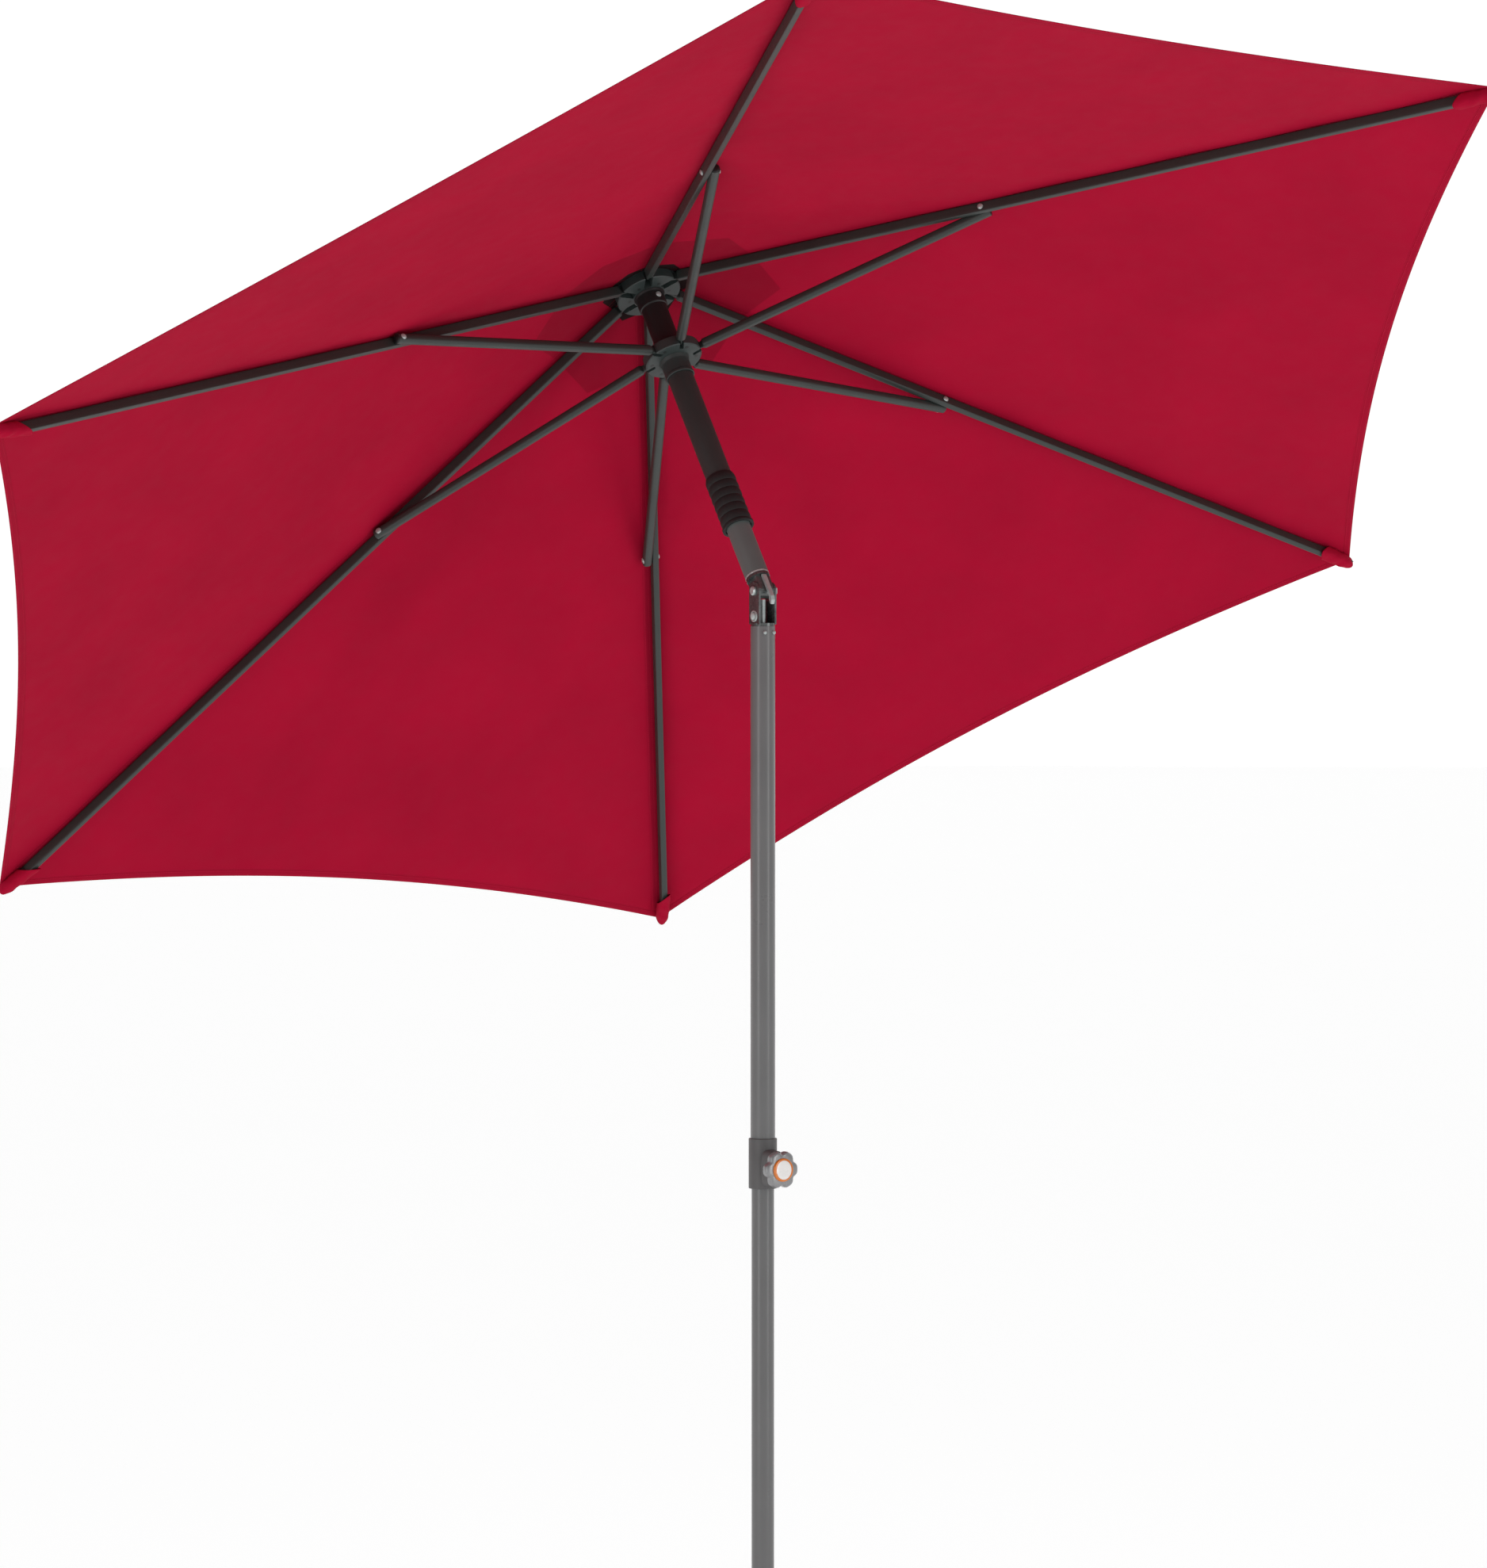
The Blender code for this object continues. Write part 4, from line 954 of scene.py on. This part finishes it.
class UMBRELLA_OT_crown(bpy.types.Operator):
    """Slotted crown hub, its neck, and the finial on top"""
    bl_idname = "umbrella.crown"
    bl_label = "Crown"

    def execute(self, context):
        cloth, metal, _ = settings()
        matrix = mast_frame(CROWN_RISE)
        turn = star_turn("rib_fold", matrix)
        half = 0.0095
        points, faces = slotted_disc(0.0002, 0.048, -half, half, 0.0250, 0.0155, turn, metal.rib_side,
                                     0.0052)
        add_piece("crown_disc", place(points, matrix), [face[::-1] for face in faces], hub_plastic(),
                  "head", ("crown_hub",))
        mast = UPPER_TUBE
        foot = RUNNER_RISE - CROWN_RISE + half
        neck = [(mast + 0.0003, foot), (mast + 0.0014, foot), (mast + 0.0014, -half - 0.023),
                (mast + 0.0035, -half - 0.022), (mast + 0.004, -half - 0.004),
                (mast + 0.006, -half - 0.0003), (mast + 0.0003, -half - 0.0003)]
        add_turned("crown_collar", neck, matrix, black_plastic(), "head", ("crown_neck",))
        # Painted shade of the small holes in the crown's lower face: dark discs.
        points, faces = hole_shade_discs(RIB_COUNT, 0.0300, 0.0024, -half, matrix, turn + GORE_HALF * 0.8)
        add_piece("crown_hole_shades", points, faces, black_plastic(), "head", ())
        base = half + 0.0003
        lift = cloth.lift + 0.0046
        skirt = 0.078
        fall = math.tan(cloth.slope)
        edge = lift - skirt * fall
        profile = [(0.0, base), (0.010, base), (0.010, lift - 0.010 * fall), (skirt - 0.001, edge + 0.0004),
                   (skirt, edge + 0.0016), (skirt * 0.93, edge + 0.0052), (0.056, base + 0.0074),
                   (0.040, base + 0.0122),
                   (0.026, base + 0.0162), (0.016, base + 0.019), (0.0125, base + 0.023),
                   (0.012, base + 0.030),
                   (0.0150, base + 0.035), (0.0172, base + 0.042), (0.0168, base + 0.050),
                   (0.0140, base + 0.058), (0.0085, base + 0.0635), (0.0, base + 0.065)]
        add_turned("finial_knob", profile, matrix, black_plastic(), "head", ("finial",),
                   96, 0.0022)
        return {"FINISHED"}


class UMBRELLA_OT_runner(bpy.types.Operator):
    """Runner: slotted hub with its neck, long sleeve and wavy rubber grip"""
    bl_idname = "umbrella.runner"
    bl_label = "Runner"

    def execute(self, context):
        metal = settings()[1]
        matrix = mast_frame(RUNNER_RISE)
        turn = star_turn("strut_fold", matrix)
        half, bore, sleeve = 0.0085, UPPER_BORE, 0.0190
        points, faces = slotted_disc(bore, 0.0425, -half, half, 0.0293, 0.0140, turn, metal.strut_side,
                                     0.0027)
        add_piece("runner_disc", place(points, matrix), [face[::-1] for face in faces], hub_plastic(),
                  "runner", ("runner_hub",))
        low = -half - 0.030
        neck = [(sleeve + 0.0003, low), (0.0212, low), (0.0216, low + 0.001), (0.0216, low + 0.0042),
                (0.0207, low + 0.0052), (0.0205, -half - 0.006), (0.0225, -half - 0.001),
                (0.0228, -half + 0.0002), (sleeve + 0.0003, -half + 0.0002)]
        add_turned("runner_neck", neck, matrix, hub_plastic(), "runner", (), 96)
        # Painted shade of the small holes in the runner's lower face: dark discs.
        points, faces = hole_shade_discs(RIB_COUNT, 0.0335, 0.0028, -half, matrix, turn + GORE_HALF)
        add_piece("runner_hole_shades", points, faces, black_plastic(), "runner", ())
        end = GRIP_FOOT - RUNNER_RISE
        tube = [(bore, end + 0.003), (sleeve, end + 0.003), (sleeve, -half - 0.0003),
                (bore, -half - 0.0003)]
        add_turned("runner_tube", tube, matrix, hub_plastic(), "runner", ("runner_sleeve",),
                   96)
        length, waves = 0.088, 6
        t = np.linspace(0.0, 1.0, 73)
        swell = np.abs(np.sin(math.pi * waves * t)) ** 0.7
        wave = np.stack([0.0212 + 0.0012 * swell, end + 0.0065 + (length - 0.0085) * t], axis=-1)
        profile = np.concatenate([[[sleeve + 0.0003, end], [0.0234, end], [0.0235, end + 0.004],
                                   [0.0214, end + 0.005]],
                                  wave, [[0.0208, end + length], [sleeve + 0.0003, end + length]]])
        add_turned("grip_sleeve", profile, matrix, grip_rubber(), "runner", ("runner_grip",),
                   96, 0.0005)
        return {"FINISHED"}


# --- poles and clamp ------------------------------------------------------------------------------

def add_tube(name, node, radius, wall, matrix, low, high, finish_made, body):
    profile = [(radius - wall, low), (radius, low), (radius, high), (radius - wall, high)]
    return add_turned(name, profile, matrix, finish_made, body, (node,), 128, 0.0004)


class UMBRELLA_OT_poles(bpy.types.Operator):
    """Mast, upper pole and lower pole: painted round tubes"""
    bl_idname = "umbrella.poles"
    bl_label = "Poles"

    def execute(self, context):
        low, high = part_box("lower_pole")
        add_tube("lower_tube", "lower_pole", LOWER_TUBE, TUBE_WALL, pole_frame(), low[2], high[2],
                 pole_paint(), "lower_mast")
        low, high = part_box("upper_pole")
        add_tube("upper_tube", "upper_pole", UPPER_TUBE, TUBE_WALL, pole_frame(), low[2], high[2],
                 pole_paint(), "upper_mast")
        top = CROWN_RISE - 0.0098
        add_tube("mast_tube", "mast", UPPER_TUBE, TUBE_WALL, mast_frame(), MAST_FOOT, top, mast_paint(),
                 "head")
        return {"FINISHED"}


def lobed_wheel(radius, low, high, lobes, matrix, steps=180):
    """Star knob: radius 1 + a cos(lobes angle), eased so that the lobes are broad and the hollows are
    round.

    The side is a profile from the back to the front; both edges are rounded and the front is slightly
    crowned.
    """
    angle = np.linspace(0.0, 2 * math.pi, steps, endpoint=False)
    wave = 0.5 + 0.5 * np.cos(lobes * angle)
    plan = 1.0 - 0.15 * (1.0 - wave) ** 2.4
    t = np.linspace(0.0, math.pi, 15)
    depth = high - low
    heights = low + depth * (0.5 - 0.5 * np.cos(t))
    shrink = 1.0 - 0.13 * np.abs(np.cos(t)) ** 4
    front = np.linspace(0.9, 0.0, 8)[1:]
    r = np.concatenate([[0.0], shrink, 0.87 * front])
    h = np.concatenate([[low], heights, high + 0.0006 * (1 - front ** 2)])
    flatten = np.concatenate([[0.0], np.ones(15), front])
    reach = r[:, None] * radius * (1.0 - (1.0 - plan)[None, :] * flatten[:, None])
    reach = np.maximum(reach, ON_AXIS)
    points = np.stack([reach * np.cos(angle), reach * np.sin(angle),
                       np.broadcast_to(h[:, None], reach.shape)], axis=-1)
    faces = grid_faces(len(h), steps, wrap_rows=True, wrap_cols=True)
    return place(points, matrix), [face[::-1] for face in faces][::-1]


class UMBRELLA_OT_clamp(bpy.types.Operator):
    """Clamp collar with its boss, star knob and round cap"""
    bl_idname = "umbrella.clamp"
    bl_label = "Clamp"

    def execute(self, context):
        low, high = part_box("clamp_collar")
        base, top = float(low[2]), float(high[2])
        step = 0.014
        outer = 0.0202
        profile = [(LOWER_BORE, base), (outer, base), (outer, top), (UPPER_BORE, top),
                   (UPPER_BORE, base + step), (LOWER_BORE, base + step)]
        add_turned("collar_sleeve", profile, pole_frame(), collar_plastic(), "upper_mast",
                   ("clamp_collar",), 96, 0.0010)
        middle = float(joint_point("clamp_knob_turn")[2])
        stations = np.concatenate([np.linspace(0.0170, 0.0345, 12), np.linspace(0.0350, 0.0358, 4)])
        t = (stations - stations[0]) / (stations[-1] - stations[0])
        edge = np.where(stations > 0.0345, 1.0 - 0.12 * ((stations - 0.0345) / 0.0013) ** 2, 1.0)
        width = (0.0280 - 0.0050 * t) * edge
        depth = (0.0540 - 0.0040 * t) * edge
        points, faces = swept(stations, width, depth, np.zeros(16), np.zeros(16), 3.6, 48)
        matrix = columns((0, -1, 0), (1, 0, 0), (0, 0, 1), (0, 0, middle))
        add_piece("collar_boss", place(points, matrix), faces, collar_plastic(), "upper_mast", ())
        screw = knob_frame("clamp_knob_turn")
        stem = turned([(0.0, LOWER_BORE), (0.004, LOWER_BORE), (0.004, 0.0385), (0.0, 0.0385)], screw, 32, 0)
        shoulder = turned([(0.0, 0.0361), (0.0095, 0.0361), (0.0105, 0.0390), (0.0, 0.0390)], screw, 48,
                          0.0005)
        wheel = lobed_wheel(0.0272, 0.038, 0.051, 6, screw)
        points, faces = merged([(stem[0], [f[::-1] for f in stem[1]]),
                                (shoulder[0], [f[::-1] for f in shoulder[1]]), wheel])
        add_piece("star_knob", points, faces, silver_lacquer(), "clamp_screw", ("clamp_knob",),
                  sharp=50.0)
        cap = [(0.0, 0.0512), (0.0166, 0.0512), (0.0166, 0.0526), (0.0156, 0.0540), (0.0100, 0.0546),
               (0.0, 0.0548)]
        add_turned("knob_cap", cap, screw, cap_plastic(), "clamp_screw", ("clamp_knob_cap",),
                   72, 0.0006)
        return {"FINISHED"}


class UMBRELLA_OT_joint(bpy.types.Operator):
    """Tilt joint: channel, button, mast rim and rivet heads, and finishes for its frame pieces"""
    bl_idname = "umbrella.joint"
    bl_label = "Tilt joint"

    def execute(self, context):
        points, faces = arc_wall(0.0128, 0.0145, math.radians(37), math.radians(143), -0.0490, -0.0150,
                                 pole_frame(PIVOT_HEIGHT))
        add_piece("fork_channel", points, faces, black_plastic(), "upper_mast", ())
        low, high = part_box("tilt_button")
        middle = (low + high) / 2
        outward = columns((0, 1, 0), (0, 0, -1), (-1, 0, 0), (0, middle.y, middle.z))
        face = -low.x
        ring = [(0.0056, face - 0.0052), (0.0082, face - 0.0052), (0.0086, face - 0.0044),
                (0.0080, face - 0.0034), (0.0064, face - 0.0030), (0.0056, face - 0.0038)]
        add_turned("button_ring", ring, outward, plated_steel(), "upper_mast", (), 48,
                   0.0003)
        angle = np.linspace(0.0, math.pi / 2, 7)
        round_end = np.stack([0.0052 * np.cos(angle), face - 0.0030 + 0.0030 * np.sin(angle)], axis=-1)
        push = np.concatenate([[[0.0, -high.x], [0.0052, -high.x]], round_end])
        add_turned("push_button", push, outward, button_plastic(), "button", ("tilt_button",),
                   48, 0)
        end = mast_frame(MAST_FOOT)
        mouth = [(0.0164, -0.0002), (0.0174, -0.0002), (0.0176, 0.0006), (0.0176, 0.0020), (0.0164, 0.0004)]
        add_turned("mast_rim", mouth, end, plated_steel(), "head", (), 96, 0)
        for side, node in ((-1, "pole_rivet_left"), (1, "pole_rivet_right")):
            low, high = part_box(node)
            middle = (low + high) / 2
            spot = columns((1, 0, 0), (0, 0, 1), (0, -1, 0), (middle.x, high.y, middle.z))
            add_turned(f"pole_rivet_head_{'left' if side < 0 else 'right'}", dome(0.0029, 0.0020, 0.0),
                       spot, plated_steel(), "upper_mast", (node,), 32, 0)
        dress(("tilt_pin", "tilt_nut", "tilt_post", "tilt_catch", "crown_screw"), plated_steel())
        dress(("tilt_fork", "tilt_tongue"), fork_steel())
        dress(tuple(f"rib_rivet_{index}" for index in RIBS), plated_steel())
        dress(("lower_pole_plug",), black_plastic())
        dress(tuple(f"rib_tip_{index}" for index in RIBS), black_plastic())
        return {"FINISHED"}


def dress(nodes, material):
    """Give frame nodes a finish."""
    for name in nodes:
        obj = frame["nodes"][name]
        obj.data.materials.clear()
        obj.data.materials.append(material)


# --- base -----------------------------------------------------------------------------------------

class UMBRELLA_OT_base(bpy.types.Operator):
    """Cast slab, flanged tube with its bolts, bush and clamp knob"""
    bl_idname = "umbrella.base"
    bl_label = "Base"

    def execute(self, context):
        ground = pole_frame()
        radius, height = 0.250, 0.055
        angle = np.linspace(0.0, math.pi / 2, 9)
        shoulder = np.stack([radius - 0.016 + 0.016 * np.cos(angle),
                             height - 0.018 + 0.016 * np.sin(angle)], axis=-1)
        profile = np.concatenate([[[0.0, 0.0], [radius - 0.006, 0.0], [radius, 0.006]], shoulder,
                                  [[radius - 0.040, height], [0.017, height], [0.017, 0.0297],
                                   [0.0, 0.0297]]])
        add_turned("slab", profile, ground, cast_slab(), "base", ("base_slab",), 160, 0.0010)
        low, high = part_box("base_tube")
        base, top = float(low[2]), float(high[2])
        profile = [(0.022, base), (0.075, base), (0.075, base + 0.005), (0.034, base + 0.005),
                   (0.0290, base + 0.0062),
                   (0.0256, base + 0.0095), (0.024, base + 0.016), (0.024, top), (0.022, top)]
        add_turned("flanged_tube", profile, ground, rib_paint(), "base", ("base_tube",),
                   96, 0.0008)
        low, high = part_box("base_bush")
        top = float(high[2])
        inside = LOWER_BORE
        profile = [(inside, top - 0.080), (0.0217, top - 0.080), (0.0217, top - 0.0095),
                   (0.026, top - 0.0095), (0.026, top - 0.004), (0.0225, top), (inside, top)]
        add_turned("tube_bush", profile, ground, black_plastic(), "base", ("base_bush",),
                   96, 0.0010)
        screw = knob_frame("base_knob_turn")
        stem = turned([(0.0, LOWER_BORE), (0.004, LOWER_BORE), (0.004, 0.0362), (0.0, 0.0362)], screw, 32, 0)
        wheel = lobed_wheel(0.024, 0.036, 0.048, 5, screw)
        points, faces = merged([(stem[0], [f[::-1] for f in stem[1]]), wheel])
        add_piece("tube_knob", points, faces, black_plastic(), "base_screw", ("base_knob",),
                  sharp=50.0)
        for number in (1, 2, 3):
            low, high = (np.array(v, float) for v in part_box(f"base_bolt_{number}"))
            centre = (low + high) / 2
            spot = columns((1, 0, 0), (0, 1, 0), (0, 0, 1), (centre[0], centre[1], low[2]))
            washer = turned([(0.0, 0.0), (0.011, 0.0), (0.011, 0.0015), (0.0, 0.0015)], spot, 48, 0.0003)
            t = np.linspace(0.0, 2 * math.pi, 48, endpoint=False)
            flat = 0.0078 / np.cos((t + math.pi / 6) % (math.pi / 3) - math.pi / 6)
            shrink = np.array([1.0, 1.0, 0.97, 0.86, 0.0])
            lift = np.array([0.0014, 0.0070, 0.0077, 0.0080, 0.0080])
            reach = np.maximum(shrink[:, None] * flat, ON_AXIS)
            head = np.stack([reach * np.cos(t), reach * np.sin(t),
                             np.broadcast_to(lift[:, None], reach.shape)], axis=-1)
            faces = grid_faces(5, 48, wrap_cols=True) + [list(range(48))[::-1]]
            points, faces = merged([(washer[0], [f[::-1] for f in washer[1]]), (place(head, spot), faces)])
            add_piece(f"flange_bolt_{number}", points, faces, plated_steel(), "base",
                      (f"base_bolt_{number}",))
        return {"FINISHED"}


# --- stage ----------------------------------------------------------------------------------------

class UMBRELLA_OT_stage(bpy.types.Operator):
    """Pale floor, soft studio light and a level camera with a long lens"""
    bl_idname = "umbrella.stage"
    bl_label = "Stage"

    distance: size("Distance", "Camera to the pole axis", 9.405)

    def execute(self, context):
        scene = context.scene
        angle = np.linspace(0.0, 2 * math.pi, 128, endpoint=False)
        rim = np.stack([60 * np.cos(angle), 60 * np.sin(angle), np.full(128, -0.0005)], axis=-1)
        mesh = bpy.data.meshes.new("floor")
        mesh.from_pydata(rim.tolist(), [], [list(range(128))])
        floor_finish = Finish("floor_paint", (0.78, 0.78, 0.78), 0.7)
        floor_finish.shader.inputs["Emission Color"].default_value = (1.0, 1.0, 1.0, 1.0)
        floor_finish.shader.inputs["Emission Strength"].default_value = 0.47
        floor_finish.tint(floor_finish.noise(0.7, 3.0), 0.985, 1.0)
        mesh.materials.append(floor_finish.material)
        floor = bpy.data.objects.new("floor", mesh)
        scene.collection.objects.link(floor)

        world = bpy.data.worlds.new("studio")
        scene.world = world
        world.use_nodes = True
        aim = math.radians(33.69)
        nodes, links = world.node_tree.nodes, world.node_tree.links
        backdrop = nodes["Background"]
        backdrop.inputs["Color"].default_value = (1.0, 1.0, 1.0, 1.0)
        facing = nodes.new("ShaderNodeVectorMath")
        facing.operation = "DOT_PRODUCT"
        facing.inputs[1].default_value = (math.sin(aim), math.cos(aim), 0.0)
        ramp = nodes.new("ShaderNodeMapRange")
        ramp.interpolation_type = "SMOOTHSTEP"
        ramp.inputs["From Min"].default_value = -0.3
        ramp.inputs["From Max"].default_value = 0.7
        ramp.inputs["To Min"].default_value = 0.30
        ramp.inputs["To Max"].default_value = 1.06
        links.new(nodes.new("ShaderNodeTexCoord").outputs["Generated"], facing.inputs[0])
        links.new(facing.outputs["Value"], ramp.inputs["Value"])
        links.new(ramp.outputs["Result"], backdrop.inputs["Strength"])
        lamp("left_panel", 75.0, (0.7, 4.5), (-6.2, -1.6, 1.6), (0, 0, 1.3))
        lamp("right_panel", 75.0, (0.7, 4.5), (2.2, -6.0, 1.6), (0, 0, 1.3))

        camera = bpy.data.cameras.new("camera")
        camera.sensor_fit = "HORIZONTAL"
        camera.sensor_width = 36.0
        camera.lens = 160.37
        camera.shift_x = -0.0130
        camera.shift_y = -0.1299
        camera.clip_end = 200.0
        holder = bpy.data.objects.new("camera", camera)
        holder.location = (-self.distance * math.sin(aim), -self.distance * math.cos(aim), PIVOT_HEIGHT)
        holder.rotation_euler = (math.pi / 2, 0.0, -aim)
        scene.collection.objects.link(holder)
        scene.camera = holder
        scene.view_settings.view_transform = "Standard"
        return {"FINISHED"}


def lamp(name, power, extent, position, target):
    """Soft rectangular light that looks at a point."""
    light = bpy.data.lights.new(name, "AREA")
    light.shape = "RECTANGLE"
    light.size, light.size_y = extent
    light.energy = power
    holder = bpy.data.objects.new(name, light)
    holder.location = position
    holder.rotation_euler = (Vector(target) - Vector(position)).to_track_quat("-Z", "Y").to_euler()
    bpy.context.scene.collection.objects.link(holder)
    return holder


# --- panel and registration -----------------------------------------------------------------------

OPERATORS = (UMBRELLA_OT_hem, UMBRELLA_OT_pockets, UMBRELLA_OT_canopy, UMBRELLA_OT_ribs, UMBRELLA_OT_struts,
             UMBRELLA_OT_crown, UMBRELLA_OT_runner, UMBRELLA_OT_poles, UMBRELLA_OT_clamp, UMBRELLA_OT_joint,
             UMBRELLA_OT_base, UMBRELLA_OT_stage)


class UMBRELLA_PT_sidebar(bpy.types.Panel):
    """Sizes, colours and the list of pieces"""
    bl_idname = "UMBRELLA_PT_sidebar"
    bl_label = "Patio Umbrella"
    bl_space_type = "VIEW_3D"
    bl_region_type = "UI"
    bl_category = "Umbrella"

    def draw(self, context):
        layout = self.layout
        for group in settings():
            box = layout.box()
            for key in group.bl_rna.properties.keys():
                if key not in ("rna_type", "name"):
                    box.prop(group, key)
        for operator in OPERATORS:
            layout.operator(operator.bl_idname)


GROUPS = {"umbrella_cloth": UmbrellaCloth, "umbrella_frame": UmbrellaFrame, "umbrella_base": UmbrellaBase}


def register():
    for cls in (*GROUPS.values(), *OPERATORS, UMBRELLA_PT_sidebar):
        bpy.utils.register_class(cls)
    for name, cls in GROUPS.items():
        setattr(bpy.types.Scene, name, bpy.props.PointerProperty(type=cls))


def unregister():
    for name in GROUPS:
        delattr(bpy.types.Scene, name)
    for cls in reversed((*GROUPS.values(), *OPERATORS, UMBRELLA_PT_sidebar)):
        bpy.utils.unregister_class(cls)


def main():
    register()
    bpy.ops.umbrella.hem()
    bpy.ops.umbrella.pockets()
    bpy.ops.umbrella.canopy()
    bpy.ops.umbrella.ribs()
    bpy.ops.umbrella.struts()
    bpy.ops.umbrella.crown()
    bpy.ops.umbrella.runner()
    bpy.ops.umbrella.poles()
    bpy.ops.umbrella.clamp()
    bpy.ops.umbrella.joint()
    bpy.ops.umbrella.base()
    bpy.ops.umbrella.stage()


if __name__ == "__main__":
    main()
